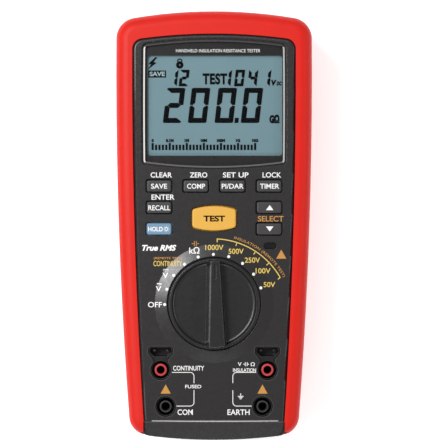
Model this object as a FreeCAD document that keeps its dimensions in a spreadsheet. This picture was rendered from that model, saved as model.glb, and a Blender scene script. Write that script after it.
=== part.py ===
import FreeCAD, Part
import math
import operator
import os
from types import SimpleNamespace

import Sketcher
from FreeCAD import Placement, Rotation, Vector

# Handheld insulation resistance tester in a rubber holster, in millimetres.
# It lies on its back: +X to the right of the face, +Y towards the display end, +Z out of the face.
# The origin is the middle of the footprint, on the plane that the tester rests on.

SIZES = [
    ("half_width", 51.5, "half the greatest width, at the holster"),
    ("half_length", 112.5, "half the whole length"),
    ("dial_top", 59.0, "top of the dial's grip, the highest point"),
    ("widest_y", 80.0, "where the tester is widest"),
    ("side_radius", 2400.0, "bow of the long sides"),
    ("top_radius", 255.0, "bow of the display end"),
    ("bottom_radius", 276.0, "bow of the jack end"),
    ("top_corner", 11.0, "corner of the holster at the display end"),
    ("bottom_corner", 10.0, "corner of the holster at the jack end"),
    ("holster_front", 50.3, "front of the holster's lip"),
    ("holster_lip_under", 47.5, "underside of the holster's front lip"),
    ("holster_back_lip", 2.5, "inner face of the holster's back lip"),
    ("front_lip", 8.75, "how far the front lip reaches in"),
    ("back_lip", 10.0, "how far the back lip reaches in"),
    ("opening_side_radius", 2800.0, "bow of the sides of the face"),
    ("case_gap", 0.1, "clearance of the case in the holster"),
    ("case_inset", 3.1, "case side to holster side"),
    ("case_wall", 2.5, "wall of the case"),
    ("parting", 27.0, "where the two case halves meet"),
    ("shoulder", 47.4, "shoulder of the front case, under the holster's lip"),
    ("shoulder_inside", 45.0, "inside of that shoulder"),
    ("face", 50.6, "face of the front case"),
    ("face_edge", 1.4, "rounding of the face's outer edge"),
    ("ceiling", 48.2, "inside of the face"),
    ("back_plateau", 0.8, "back face of the case"),
    ("back_shoulder", 2.6, "shoulder of the back case, above the holster's lip"),
    ("floor", 5.1, "inside of the back case"),
    ("dial_y", -41.0, "dial axis"),
    ("dial_radius", 24.0, "skirt of the dial"),
    ("dish_radius", 22.2, "hollow of the dial"),
    ("dish_depth", 1.4, "depth of that hollow"),
    ("dish_round", 2.4, "rounding of that hollow's wall"),
    ("skirt_low", 48.0, "underside of the dial"),
    ("skirt_high", 53.2, "rim of the dial"),
    ("hub_radius", 5.0, "hub of the dial"),
    ("grip_radius", 22.9, "ends of the grip"),
    ("boss_radius", 31.0, "foot of the cone round the dial"),
    ("boss_top_radius", 24.9, "top of that cone"),
    ("boss_top", 52.0, "top of that cone"),
    ("well_floor", 47.6, "floor of the dial's well"),
    ("lens_half", 37.0, "half width of the display lens"),
    ("lens_top", 96.8, "display end of the lens"),
    ("lens_bottom", 30.1, "jack end of the lens"),
    ("lens_groove", 1.15, "groove round the lens"),
    ("lens_under", 49.0, "underside of the lens"),
    ("lens_over", 50.9, "front of the lens"),
    ("window_left", -34.9, "display window, left edge"),
    ("window_right", 35.7, "display window, right edge"),
    ("window_top", 88.8, "display window, upper edge"),
    ("window_bottom", 36.4, "display window, lower edge"),
    ("glass_under", 45.4, "underside of the display glass"),
    ("glass_over", 47.4, "front of the display glass"),
    ("key_width", 12.9, "small key"),
    ("key_height", 6.0, "small key"),
    ("key_pitch_x", 19.15, "column to column"),
    ("key_pitch_y", 11.2, "row to row"),
    ("key_row_y", 20.5, "upper row of keys"),
    ("key_top", 52.0, "top of a small key"),
    ("key_gap", 0.6, "gap round a key"),
    ("key_flange", 1.1, "how far a key's flange reaches beyond its sides"),
    ("flange_low", 46.6, "underside of that flange"),
    ("flange_high", 47.9, "upper side of that flange"),
    ("plunger_low", 43.4, "foot of a key's plunger"),
    ("test_y", 3.65, "test button"),
    ("test_half", 11.45, "half width of the test button"),
    ("test_rise", 6.48, "half height of the test button at its middle"),
    ("test_top", 52.6, "top of the test button"),
    ("upper_jack_x", 27.9, "upper jacks"),
    ("upper_jack_y", -75.6, "upper jacks"),
    ("lower_jack_x", 25.3, "lower jacks"),
    ("lower_jack_y", -94.7, "lower jacks"),
    ("remote_y", -65.6, "pins of the remote lead's sockets"),
    ("jack_bore", 2.0, "radius that takes the 4 mm plug"),
    ("contact_radius", 2.6, "brass tube of a jack"),
    ("contact_low", 27.0, "foot of the brass tube"),
    ("contact_high", 46.0, "mouth of the brass tube"),
    ("sleeve_radius", 3.2, "insulating tube of a jack"),
    ("sleeve_top", 50.4, "mouth of the insulating tube"),
    ("well_radius", 4.6, "round well that takes the plug's shroud"),
    ("well_low", 36.0, "bottom of that well"),
    ("island_radius", 5.15, "rim of the jack block in the face"),
    ("island_top", 49.6, "rim of the jack block in the face"),
    ("opening_radius", 5.35, "opening in the face for that rim"),
    ("main_board_low", 38.4, "underside of the main board"),
    ("main_board_high", 40.0, "upper side of the main board"),
    ("power_board_low", 24.0, "underside of the power board"),
    ("power_board_high", 25.6, "upper side of the power board"),
    ("cell_radius", 7.25, "AA cell"),
    ("cell_length", 49.2, "AA cell without its nub"),
    ("cell_pitch", 14.7, "cell to cell"),
    ("cell_z", 10.4, "cell axis"),
    ("first_cell_y", -90.25, "cell nearest the jacks"),
    ("bay_half", 29.2, "half width of the battery bay"),
    ("bay_low_y", -97.6, "battery bay"),
    ("bay_high_y", -9.2, "battery bay"),
    ("tray_roof", 19.0, "inside of the battery tray"),
    ("cover_low_y", -99.6, "battery cover"),
    ("cover_high_y", -1.0, "battery cover"),
    ("cover_half", 31.4, "half width of the battery cover"),
    ("cover_over", 3.0, "inner face of the battery cover"),
    ("cover_tongue_half", 5.0, "half width of the cover's tongue"),
    ("cover_tongue_y", -107.0, "end of the cover's tongue"),
    ("stand_half", 30.0, "half width of the stand"),
    ("stand_low_y", 2.3, "free end of the stand"),
    ("stand_axis_y", 84.5, "hinge of the stand"),
    ("stand_axis_z", 3.0, "hinge of the stand"),
    ("stand_low", 1.0, "outer face of the stand"),
    ("stand_high", 4.4, "inner face of the stand"),
]

START, END, CENTRE = 1, 2, 3
ORIGIN = -1
X_AXIS, Y_AXIS = -1, -2
FLAT = Rotation()
TILTED_TO_X = Rotation(Vector(0, 1, 0), 90)

doc = FreeCAD.newDocument("insulation_resistance_tester")
sheet = doc.addObject("Spreadsheet::Sheet", "sizes")
for row, (alias, value, meaning) in enumerate(SIZES, 1):
    sheet.set(f"A{row}", alias)
    sheet.set(f"B{row}", str(value))
    sheet.set(f"C{row}", meaning)
    sheet.setAlias(f"B{row}", alias)
doc.recompute()


class Size:
    """A length with its value and the spreadsheet expression that gives it."""

    def __init__(self, number, text):
        self.number = number
        self.text = text

    def joined(self, other, action, sign, swapped=False):
        first, second = (sized(other), self) if swapped else (self, sized(other))
        return Size(action(first.number, second.number), f"({first.text} {sign} {second.text})")

    def __add__(self, other):
        return self.joined(other, operator.add, "+")

    def __radd__(self, other):
        return self.joined(other, operator.add, "+", swapped=True)

    def __sub__(self, other):
        return self.joined(other, operator.sub, "-")

    def __rsub__(self, other):
        return self.joined(other, operator.sub, "-", swapped=True)

    def __mul__(self, other):
        return self.joined(other, operator.mul, "*")

    def __rmul__(self, other):
        return self.joined(other, operator.mul, "*", swapped=True)

    def __truediv__(self, other):
        return self.joined(other, operator.truediv, "/")

    def __neg__(self):
        return 0 - self


def sized(value):
    return value if isinstance(value, Size) else Size(value, f"({value:.6g})")


def number(value):
    return sized(value).number


def root(value):
    """Square root of a size."""
    return Size(math.sqrt(number(value)), f"sqrt({sized(value).text})")


s = SimpleNamespace(**{alias: Size(value, f"sizes.{alias}") for alias, value, meaning in SIZES})


def tie(thing, property_name, value):
    """Binds a property to the spreadsheet."""
    thing.setExpression(property_name, sized(value).text)


# ---------------------------------------------------------------- sketches


def dimension(sketch, kind, *where_and_value):
    *where, value = where_and_value
    index = sketch.addConstraint(Sketcher.Constraint(kind, *where, number(value)))
    if isinstance(value, Size):
        tie(sketch, f"Constraints[{index}]", value)


def relation(sketch, kind, *where):
    sketch.addConstraint(Sketcher.Constraint(kind, *where))


def pin(sketch, geometry, point, x, y):
    """Holds a point at its distances from the sketch's origin."""
    for kind, axis, value in (("DistanceX", Y_AXIS, x), ("DistanceY", X_AXIS, y)):
        if not isinstance(value, Size) and value == 0:
            relation(sketch, "PointOnObject", geometry, point, axis)
        else:
            dimension(sketch, kind, ORIGIN, START, geometry, point, value)


def flat(x, y):
    return Vector(number(x), number(y), 0)


def circle(sketch, x, y, radius):
    index = sketch.addGeometry(Part.Circle(flat(x, y), Vector(0, 0, 1), number(radius)))
    pin(sketch, index, CENTRE, x, y)
    dimension(sketch, "Radius", index, radius)


def ring(sketch, inner, outer):
    circle(sketch, 0, 0, inner)
    circle(sketch, 0, 0, outer)


def arc_between(start, end, radius):
    """Arc under half a turn from start to end, to the left of its centre when the radius is positive."""
    chord = end - start
    half = chord.Length / 2
    side = Vector(-chord.y, chord.x, 0) / chord.Length
    rise = math.sqrt(radius * radius - half * half)
    centre = (start + end) / 2 + side * math.copysign(rise, radius)
    whole = Part.Circle(centre, Vector(0, 0, 1), abs(radius))
    first, last = (start, end) if radius > 0 else (end, start)
    return Part.ArcOfCircle(whole, whole.parameter(first), whole.parameter(last))


def polygon(sketch, points, arcs=None):
    """Closed outline through points; arcs gives the signed radius of the sides that are round."""
    arcs = arcs or {}
    corners = [flat(x, y) for x, y in points]
    ends = []
    for side, (x, y) in enumerate(points):
        start = corners[side]
        end = corners[(side + 1) % len(corners)]
        radius = arcs.get(side)
        if radius is None:
            index = sketch.addGeometry(Part.LineSegment(start, end))
            first, last = START, END
        else:
            index = sketch.addGeometry(arc_between(start, end, number(radius)))
            first, last = (START, END) if number(radius) > 0 else (END, START)
            dimension(sketch, "Radius", index, radius if number(radius) > 0 else -radius)
        pin(sketch, index, first, x, y)
        ends.append((index, first, last))
    for this, following in zip(ends, ends[1:] + ends[:1]):
        relation(sketch, "Coincident", this[0], this[2], following[0], following[1])


def rectangle(sketch, left, right, bottom, top):
    polygon(sketch, [(left, bottom), (right, bottom), (right, top), (left, top)])


def rounded(sketch, left, right, bottom, top, corner):
    """Rectangle with round corners."""
    polygon(
        sketch,
        [
            (left + corner, bottom),
            (right - corner, bottom),
            (right, bottom + corner),
            (right, top - corner),
            (right - corner, top),
            (left + corner, top),
            (left, top - corner),
            (left, bottom + corner),
        ],
        {1: corner, 3: corner, 5: corner, 7: corner},
    )


def pill(sketch, x, y, length, height):
    reach = length / 2 - height / 2
    relative = [(x - reach, y - height / 2), (x + reach, y - height / 2)]
    relative += [(x + reach, y + height / 2), (x - reach, y + height / 2)]
    radius = (height / 2) * 1.0001
    polygon(sketch, relative, {1: radius, 3: radius})


def shrink(outline, by):
    """The same outline moved in on every side by one distance."""
    return SimpleNamespace(
        half=outline.half - by,
        top=outline.top - by,
        bottom=outline.bottom + by,
        widest=outline.widest,
        side_radius=outline.side_radius - by,
        top_radius=outline.top_radius - by,
        bottom_radius=outline.bottom_radius - by,
        top_corner=outline.top_corner - by,
        bottom_corner=outline.bottom_corner - by,
    )


def changed(outline, **values):
    return SimpleNamespace(**{**vars(outline), **values})


def corner_centre(side, end, corner, right, up):
    """Centre of the corner arc that lies inside a side arc and an end arc, each (centre, radius)."""
    (side_centre, side_radius), (end_centre, end_radius) = side, end
    to_side = side_radius - corner
    to_end = end_radius - corner
    apart = end_centre - side_centre
    along = (to_side**2 - to_end**2 + apart.Length**2) / (2 * apart.Length)
    across = math.sqrt(to_side**2 - along**2)
    unit = apart / apart.Length
    normal = Vector(-unit.y, unit.x, 0)
    places = [side_centre + unit * along + normal * across * way for way in (1, -1)]
    return max(places, key=lambda place: place.x * right + place.y * up)


def barrel(sketch, outline):
    """Outline of four large arcs, bowed outwards, joined by four tangent corner arcs."""
    half, widest = number(outline.half), number(outline.widest)
    side_radius = number(outline.side_radius)
    top_centre = Vector(0, number(outline.top) - number(outline.top_radius), 0)
    bottom_centre = Vector(0, number(outline.bottom) + number(outline.bottom_radius), 0)
    right_side = (Vector(half - side_radius, widest, 0), side_radius)
    left_side = (Vector(side_radius - half, widest, 0), side_radius)
    top_end = (top_centre, number(outline.top_radius))
    bottom_end = (bottom_centre, number(outline.bottom_radius))
    corners = [
        (right_side, top_end, number(outline.top_corner), 1, 1),
        (left_side, top_end, number(outline.top_corner), -1, 1),
        (left_side, bottom_end, number(outline.bottom_corner), -1, -1),
        (right_side, bottom_end, number(outline.bottom_corner), 1, -1),
    ]
    centres = [corner_centre(*corner) for corner in corners]

    def touch(big, centre):
        """Where a corner arc meets a large arc."""
        away = centre - big[0]
        return big[0] + away * (big[1] / away.Length)

    def arc(centre, radius, start, end):
        whole = Part.Circle(centre, Vector(0, 0, 1), radius)
        return Part.ArcOfCircle(whole, whole.parameter(start), whole.parameter(end))

    pieces = []
    order = [right_side, top_end, left_side, bottom_end]
    radii = [outline.side_radius, outline.top_radius, outline.side_radius, outline.bottom_radius]
    corner_radii = [outline.top_corner, outline.top_corner, outline.bottom_corner, outline.bottom_corner]
    for side in range(4):
        big = order[side]
        start = touch(big, centres[side - 1])
        end = touch(big, centres[side])
        pieces.append((sketch.addGeometry(arc(big[0], big[1], start, end)), radii[side]))
        following = touch(order[(side + 1) % 4], centres[side])
        corner = arc(centres[side], number(corner_radii[side]), end, following)
        pieces.append((sketch.addGeometry(corner), corner_radii[side]))
    for this, following in zip(pieces, pieces[1:] + pieces[:1]):
        relation(sketch, "Tangent", this[0], END, following[0], START)
    for index, radius in pieces:
        dimension(sketch, "Radius", index, radius)
    pin(sketch, pieces[0][0], CENTRE, outline.half - outline.side_radius, outline.widest)
    pin(sketch, pieces[2][0], CENTRE, 0, outline.top - outline.top_radius)
    pin(sketch, pieces[4][0], CENTRE, outline.side_radius - outline.half, outline.widest)
    pin(sketch, pieces[6][0], CENTRE, 0, outline.bottom + outline.bottom_radius)


# ---------------------------------------------------------------- bodies and features

FILLET = "PartDesign::Fillet"
CHAMFER = "PartDesign::Chamfer"


def new_body(name):
    return doc.addObject("PartDesign::Body", name)


def attach(feature, body, plane, low, x=0, y=0):
    for candidate in body.Origin.OriginFeatures:
        if candidate.Role == plane:
            feature.AttachmentSupport = [(candidate, "")]
    feature.MapMode = "FlatFace"
    feature.AttachmentOffset = Placement(Vector(number(x), number(y), number(low)), FLAT)
    for axis, value in (("x", x), ("y", y), ("z", low)):
        if isinstance(value, Size):
            tie(feature, f"AttachmentOffset.Base.{axis}", value)


def new_sketch(body, low, plane="XY_Plane", x=0, y=0):
    sketch = body.newObject("Sketcher::SketchObject", "Sketch")
    attach(sketch, body, plane, low, x, y)
    return sketch


def add(body, low, high, draw, *values, x=0, y=0):
    """Pads a sketch from one height up to another."""
    sketch = new_sketch(body, low, x=x, y=y)
    draw(sketch, *values)
    pad = body.newObject("PartDesign::Pad", "Pad")
    pad.Profile = sketch
    tie(pad, "Length", high - low)
    return pad


def remove(body, low, high, draw, *values, x=0, y=0):
    """Pockets a sketch from one height up to another."""
    sketch = new_sketch(body, low, x=x, y=y)
    draw(sketch, *values)
    pocket = body.newObject("PartDesign::Pocket", "Pocket")
    pocket.Profile = sketch
    pocket.Reversed = True
    tie(pocket, "Length", high - low)
    return pocket


def revolve(body, points, arcs=None, y=0):
    """Solid of revolution about a vertical axis, from a half section of (radius, height) points."""
    sketch = new_sketch(body, 0 - y, plane="XZ_Plane")
    polygon(sketch, points, arcs)
    turned = body.newObject("PartDesign::Revolution", "Revolution")
    turned.Profile = sketch
    turned.ReferenceAxis = (sketch, ["V_Axis"])
    return turned


def repeat_round(body, feature, count):
    """Repeats a feature round the normal at its sketch's origin."""
    pattern = body.newObject("PartDesign::PolarPattern", "PolarPattern")
    pattern.Originals = [feature]
    pattern.Axis = (feature.Profile[0], ["N_Axis"])
    pattern.Angle = 360
    pattern.Occurrences = count
    body.Tip = pattern
    return pattern


def soften(body, radius, chosen, kind=FILLET):
    """Rounds or chamfers the edges of the body that a test picks."""
    doc.recompute()
    base = body.Tip
    names = [f"Edge{place}" for place, edge in enumerate(base.Shape.Edges, 1) if chosen(edge)]
    if not names:
        raise ValueError(f"no edge to soften on {body.Label}")
    feature = body.newObject(kind, kind.split("::")[1])
    feature.Base = (base, names)
    tie(feature, "Radius" if kind == FILLET else "Size", radius)
    return feature


def level(height):
    """Test for an edge that lies flat at one height."""

    def chosen(edge):
        extent = edge.BoundBox
        return max(abs(extent.ZMin - number(height)), abs(extent.ZMax - number(height))) < 0.01

    return chosen


# ---------------------------------------------------------------- primitives


def box(name, left, right, bottom, top, low, high):
    solid = doc.addObject("Part::Box", name)
    tie(solid, "Length", right - left)
    tie(solid, "Width", top - bottom)
    tie(solid, "Height", high - low)
    place(solid, left, bottom, low)
    return solid


def cylinder(name, x, y, low, high, radius):
    solid = doc.addObject("Part::Cylinder", name)
    tie(solid, "Radius", radius)
    tie(solid, "Height", high - low)
    place(solid, x, y, low)
    return solid


def bar(name, left, right, y, z, radius):
    """Cylinder along X."""
    solid = doc.addObject("Part::Cylinder", name)
    tie(solid, "Radius", radius)
    tie(solid, "Height", right - left)
    place(solid, left, y, z, TILTED_TO_X)
    return solid


def place(thing, x, y, z, turn=FLAT):
    thing.Placement = Placement(Vector(number(x), number(y), number(z)), turn)
    for axis, value in (("x", x), ("y", y), ("z", z)):
        if isinstance(value, Size):
            tie(thing, f"Placement.Base.{axis}", value)


def cut(name, base, *tools):
    result = doc.addObject("Part::Cut", name)
    result.Base = base
    result.Tool = tools[0] if len(tools) == 1 else fuse(f"{name}_tools", *tools)
    return result


def fuse(name, *solids):
    result = doc.addObject("Part::MultiFuse", name)
    result.Shapes = list(solids)
    return result


def group(name, solids):
    result = doc.addObject("Part::Compound", name)
    result.Links = list(solids)
    return result


def screw(name, x, y, head_low, head_high, head_radius, shank_radius, shank_end):
    """Cross-head screw whose head faces the end that is further from the shank's end."""
    head = cylinder(name + "_head", x, y, head_low, head_high, head_radius)
    upwards = number(shank_end) > number(head_high)
    shank_low, shank_high = (head_high, shank_end) if upwards else (shank_end, head_low)
    shank = cylinder(name + "_shank", x, y, shank_low, shank_high, shank_radius)
    reach = head_radius * 0.62
    slot = head_radius * 0.13
    depth = (head_high - head_low) * 0.6
    if upwards:
        recess_low, recess_high = head_low - 1, head_low + depth
    else:
        recess_low, recess_high = head_high - depth, head_high + 1
    across = box(name + "_across", x - reach, x + reach, y - slot, y + slot, recess_low, recess_high)
    along = box(name + "_along", x - slot, x + slot, y - reach, y + reach, recess_low, recess_high)
    return cut(name, fuse(name + "_blank", head, shank), across, along)


# ---------------------------------------------------------------- shared outlines and places

HOLSTER = SimpleNamespace(
    half=s.half_width,
    top=s.half_length,
    bottom=-s.half_length,
    widest=s.widest_y,
    side_radius=s.side_radius,
    top_radius=s.top_radius,
    bottom_radius=s.bottom_radius,
    top_corner=s.top_corner,
    bottom_corner=s.bottom_corner,
)
CASE = changed(
    shrink(HOLSTER, s.case_inset),
    bottom=-s.half_length,
    bottom_radius=s.bottom_radius,
    bottom_corner=sized(9.0),
)
OPENING = SimpleNamespace(
    half=s.half_width - s.front_lip,
    top=sized(100.2),
    bottom=-s.half_length - 6,
    widest=s.widest_y,
    side_radius=s.opening_side_radius,
    top_radius=sized(287.0),
    bottom_radius=s.bottom_radius,
    top_corner=sized(5.5),
    bottom_corner=sized(3.0),
)
PLATFORM = changed(
    shrink(OPENING, 0.3),
    bottom=-s.half_length,
    bottom_radius=s.bottom_radius,
    bottom_corner=sized(6.0),
)
BACK_OPENING = changed(
    shrink(HOLSTER, s.back_lip),
    bottom=-s.half_length - 6,
    top_corner=sized(5.0),
    bottom_corner=sized(3.0),
)
BACK_PLATEAU = changed(
    shrink(BACK_OPENING, 0.3),
    bottom=-s.half_length + 2.5,
    bottom_corner=sized(6.0),
)
LENS = SimpleNamespace(
    half=s.lens_half,
    top=s.lens_top,
    bottom=s.lens_bottom,
    widest=sized(63.0),
    side_radius=s.opening_side_radius,
    top_radius=sized(261.0),
    bottom_radius=sized(267.0),
    top_corner=sized(2.4),
    bottom_corner=sized(1.6),
)
TEST_BUTTON = SimpleNamespace(
    half=s.test_half,
    top=s.test_y + s.test_rise,
    bottom=s.test_y - s.test_rise,
    widest=s.test_y,
    side_radius=s.opening_side_radius,
    top_radius=sized(36.7),
    bottom_radius=sized(36.7),
    top_corner=sized(1.8),
    bottom_corner=sized(1.8),
)

KEYS = {
    "save_key": (-1.5, 0),
    "compare_key": (-0.5, 0),
    "ratio_key": (0.5, 0),
    "timer_key": (1.5, 0),
    "recall_key": (-1.5, 1),
    "hold_key": (-1.5, 2),
    "up_key": (1.5, 1),
    "down_key": (1.5, 2),
}
JACKS = {
    "continuity": (-s.upper_jack_x, s.upper_jack_y),
    "insulation": (s.upper_jack_x, s.upper_jack_y),
    "common": (-s.lower_jack_x, s.lower_jack_y),
    "earth": (s.lower_jack_x, s.lower_jack_y),
}
CASE_SCREWS = [(-33, 97), (33, 97), (-27, -105.5), (27, -105.5)]
BOARD_POSTS = [(-37.5, 27.5), (37.5, 27.5), (-35.5, -54), (35.5, -54)]
SPACERS = [(-31, 14), (31, 14), (-24, -57), (24, -57)]
COVER_SCREWS = [(-22, -4.8), (22, -4.8), (0, -103.8)]
REMOTE_PINS = (-3.4, 3.4)
SENSOR = (sized(29.2), sized(-10.7))
FUSE_Y = sized(-86)
FUSE_Z = s.power_board_high + 5.2
FUSE_CAP_RADIUS = sized(3.15)
TRAY_TOP = s.tray_roof + 1.6


def key_place(name):
    column, row = KEYS[name]
    return s.key_pitch_x * column, s.key_row_y - s.key_pitch_y * row


def keyed_outline(sketch, x, grow):
    """Rim of a remote lead's socket: widest near its upper edge, narrowing towards the jack below it."""
    wide = 6.35 + grow
    narrow = 3.6 + grow
    top = -63.4 + grow
    right = [(narrow, -71.4), (narrow, -70.4), (wide, -67.0), (wide, top - 1), (wide - 1, top)]
    keyed_polygon(sketch, x, right)


def keyed_hole(sketch, x):
    """Hole of that socket."""
    right = [(3.3, -68.5), (5.7, -66.4), (5.7, -65.3), (5.0, -64.0)]
    keyed_polygon(sketch, x, right)


def keyed_polygon(sketch, x, right):
    left = [(-across, y) for across, y in reversed(right)]
    polygon(sketch, [(x + across, sized(y)) for across, y in right + left])


# ---------------------------------------------------------------- holster and case


def make_holster():
    """Soft holster: a shell with a lip over the face and the back, and no wall across the jack end."""
    body = new_body("holster")
    add(body, sized(0), s.holster_front, barrel, HOLSTER)
    soften(body, sized(6.5), level(s.holster_front))
    soften(body, sized(5.0), level(0))
    chin = s.half_width - 14.5
    chin_end, chin_start = -s.half_length - 7.5, sized(-103)
    remove(body, sized(-1), s.holster_front + 1, rectangle, -chin, chin, chin_end, chin_start)
    remove(body, s.holster_back_lip, s.holster_lip_under, barrel, shrink(CASE, -s.case_gap))
    remove(body, s.holster_lip_under - 1, s.holster_front + 1, barrel, OPENING)
    remove(body, sized(-1), s.holster_back_lip + 1, barrel, BACK_OPENING)
    grooves = 12
    first_groove = -52
    groove_step = 6
    for groove in range(grooves):
        y = first_groove + groove * groove_step
        fall = (s.widest_y - y) * (s.widest_y - y) / (s.side_radius * 2)
        for way in (-1, 1):
            x = (s.half_width - fall + 0.25) * way
            remove(body, sized(14), sized(37), circle, x, sized(y), sized(0.9))
    return body


def make_front_case():
    body = new_body("front_case")
    cavity = shrink(CASE, s.case_wall)
    upper_cavity = changed(
        shrink(PLATFORM, 2.2), bottom=sized(-102.6), bottom_corner=sized(3.0), top_corner=sized(3.0)
    )
    add(body, s.parting, s.shoulder, barrel, CASE)
    add(body, s.parting, s.face, barrel, PLATFORM)
    soften(body, s.face_edge, level(s.face))
    boss = body.newObject("PartDesign::AdditiveCone", "AdditiveCone")
    attach(boss, body, "XY_Plane", s.face, 0, s.dial_y)
    tie(boss, "Radius1", s.boss_radius)
    tie(boss, "Radius2", s.boss_top_radius)
    tie(boss, "Height", s.boss_top - s.face)
    remove(body, s.parting, s.shoulder_inside, barrel, cavity)
    remove(body, s.shoulder_inside, s.ceiling, barrel, upper_cavity)
    for x, y in CASE_SCREWS:
        add(body, s.parting, s.shoulder_inside + 1.4, circle, sized(x), sized(y), sized(3.4))
        remove(body, s.parting, sized(40), circle, sized(x), sized(y), sized(1.55))
    for x, y in BOARD_POSTS:
        add(body, s.main_board_high, s.ceiling + 0.2, circle, sized(x), sized(y), sized(2.8))
        remove(body, s.main_board_high, s.ceiling - 1.5, circle, sized(x), sized(y), sized(1.1))
    make_dial_well(body)
    make_display_recess(body)
    make_face_openings(body)
    make_chin_slope(body)
    soften(body, sized(0.4), outer_edge(s.parting), CHAMFER)
    return body


def make_dial_well(body):
    disc_low = 45.2
    add(body, sized(disc_low), s.ceiling + 0.2, circle, 0, s.dial_y, sized(27.0))
    remove(body, s.well_floor, s.boss_top + 1, circle, 0, s.dial_y, s.dial_radius + 0.5)
    remove(body, sized(disc_low) - 1, s.boss_top + 1, circle, 0, s.dial_y, s.hub_radius + 0.1)


def make_display_recess(body):
    """Bed for the lens, thickened from inside, and the opening behind the display window."""
    lens_bed = s.lens_under - 0.15
    thick_half = s.lens_half + s.lens_groove + 0.9
    thick_bottom = s.lens_bottom - s.lens_groove - 0.45
    thick_top = sized(95)
    margin = 0.6
    add(
        body,
        s.ceiling - 0.5,
        s.ceiling + 0.2,
        rounded,
        -thick_half,
        thick_half,
        thick_bottom,
        thick_top,
        sized(2.0),
    )
    remove(body, lens_bed, s.face + 1, barrel, shrink(LENS, -s.lens_groove))
    remove(
        body,
        s.ceiling - 1,
        s.face + 1,
        rounded,
        s.window_left - margin,
        s.window_right + margin,
        s.window_bottom - margin,
        s.window_top + margin,
        sized(1.2),
    )


def make_face_openings(body):
    under = s.ceiling - 1
    over = s.boss_top + 1
    for name in KEYS:
        x, y = key_place(name)
        reach_x = s.key_width / 2 + s.key_gap
        reach_y = s.key_height / 2 + s.key_gap
        remove(body, under, over, rounded, x - reach_x, x + reach_x, y - reach_y, y + reach_y, sized(1.2))
    remove(body, under, over, barrel, shrink(TEST_BUTTON, -s.key_gap))
    for x, y in JACKS.values():
        remove(body, under, over, circle, x, y, s.opening_radius)
    for x in (-s.upper_jack_x, s.upper_jack_x):
        remove(body, under, over, keyed_outline, x, 0.2)
    x, y = SENSOR
    remove(body, under, over, pill, x, y, sized(6.8), sized(3.6))


def make_chin_slope(body):
    """Slope from the face down to the jack end."""
    half = s.half_width
    sketch = new_sketch(body, -half, plane="YZ_Plane")
    polygon(
        sketch,
        [
            (sized(-101.9), s.face + 3),
            (sized(-101.9), s.face),
            (sized(-103.3), s.face - 1.4),
            (-s.half_length - 2, s.shoulder - 0.2),
            (-s.half_length - 2, s.face + 3),
        ],
        {1: sized(-1.5)},
    )
    pocket = body.newObject("PartDesign::Pocket", "Pocket")
    pocket.Profile = sketch
    pocket.Reversed = True
    tie(pocket, "Length", half * 2)


def outer_edge(height):
    """Test for the outer edges of the case at one height."""
    at_height = level(height)
    wall = shrink(CASE, s.case_wall)

    def chosen(edge):
        if not at_height(edge):
            return False
        middle = edge.valueAt((edge.FirstParameter + edge.LastParameter) / 2)
        side = number(CASE.side_radius)
        bow_x = abs(middle.x) + side - number(CASE.half)
        from_side = side - math.hypot(bow_x, middle.y - number(CASE.widest))
        near_side = from_side < 0.5
        near_end = middle.y > number(wall.top) - 7 or middle.y < number(wall.bottom) + 3
        return near_side or (near_end and reaches_outline(middle))

    return chosen


def reaches_outline(point):
    """Whether a point lies on the outline of the case."""
    probe = Part.Vertex(point)
    return OUTLINE_WIRE.distToShape(probe)[0] < 0.05


def make_back_case():
    body = new_body("back_case")
    add(body, s.back_shoulder, s.parting, barrel, CASE)
    add(body, s.back_plateau, s.floor, barrel, BACK_PLATEAU)
    remove(body, s.floor, s.parting, barrel, shrink(CASE, s.case_wall))
    add(body, s.floor - 0.2, sized(7.4), rectangle, sized(-33), sized(33), sized(-0.6), sized(90))
    for x, y in CASE_SCREWS:
        add(body, s.floor - 0.2, s.parting, circle, sized(x), sized(y), sized(4.8))
        remove(body, sized(0), sized(9), circle, sized(x), sized(y), sized(3.1))
        remove(body, sized(8), s.parting, circle, sized(x), sized(y), sized(1.65))
    for x, y in COVER_SCREWS:
        add(body, s.floor - 0.2, sized(8.4), circle, sized(x), sized(y), sized(3.0))
    make_stand_recess(body)
    make_battery_opening(body)
    soften(body, sized(0.4), outer_edge(s.parting), CHAMFER)
    return body


def make_stand_recess(body):
    half = s.stand_half + 0.5
    low_y, high_y = s.stand_low_y - 0.8, s.stand_axis_y + 2.8
    remove(body, sized(0), s.floor + 0.1, rounded, -half, half, low_y, high_y, sized(1.0))
    sketch = new_sketch(body, -half - 2.2, plane="YZ_Plane")
    circle(sketch, s.stand_axis_y, s.stand_axis_z, sized(1.6))
    pocket = body.newObject("PartDesign::Pocket", "Pocket")
    pocket.Profile = sketch
    pocket.Reversed = True
    tie(pocket, "Length", (half + 2.2) * 2)


def make_battery_opening(body):
    half = s.cover_half + 0.2
    seat = s.cover_over + 0.05
    low_y, high_y = s.cover_low_y - 0.2, s.cover_high_y + 0.2
    tongue_half = s.cover_tongue_half + 0.2
    tongue_y = (s.cover_tongue_y - 0.2, s.cover_low_y + 3)
    remove(body, sized(0), seat, rounded, -half, half, low_y, high_y, sized(2.2))
    remove(body, sized(0), seat, rounded, -tongue_half, tongue_half, *tongue_y, sized(1.5))
    remove(body, sized(0), s.floor + 1, rectangle, -s.bay_half, s.bay_half, s.bay_low_y, s.bay_high_y)
    for x, y in COVER_SCREWS:
        remove(body, seat - 0.5, sized(7.6), circle, sized(x), sized(y), sized(2.1))


def make_case_screws():
    head_low, head_high, head_radius = sized(6.6), sized(9), sized(2.8)
    shank_radius, shank_end = sized(1.5), sized(36)
    sizes = (head_low, head_high, head_radius, shank_radius, shank_end)
    screws = [screw(f"case_screw_{i}", sized(x), sized(y), *sizes) for i, (x, y) in enumerate(CASE_SCREWS, 1)]
    return group("case_screws", screws)


# ---------------------------------------------------------------- display


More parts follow.
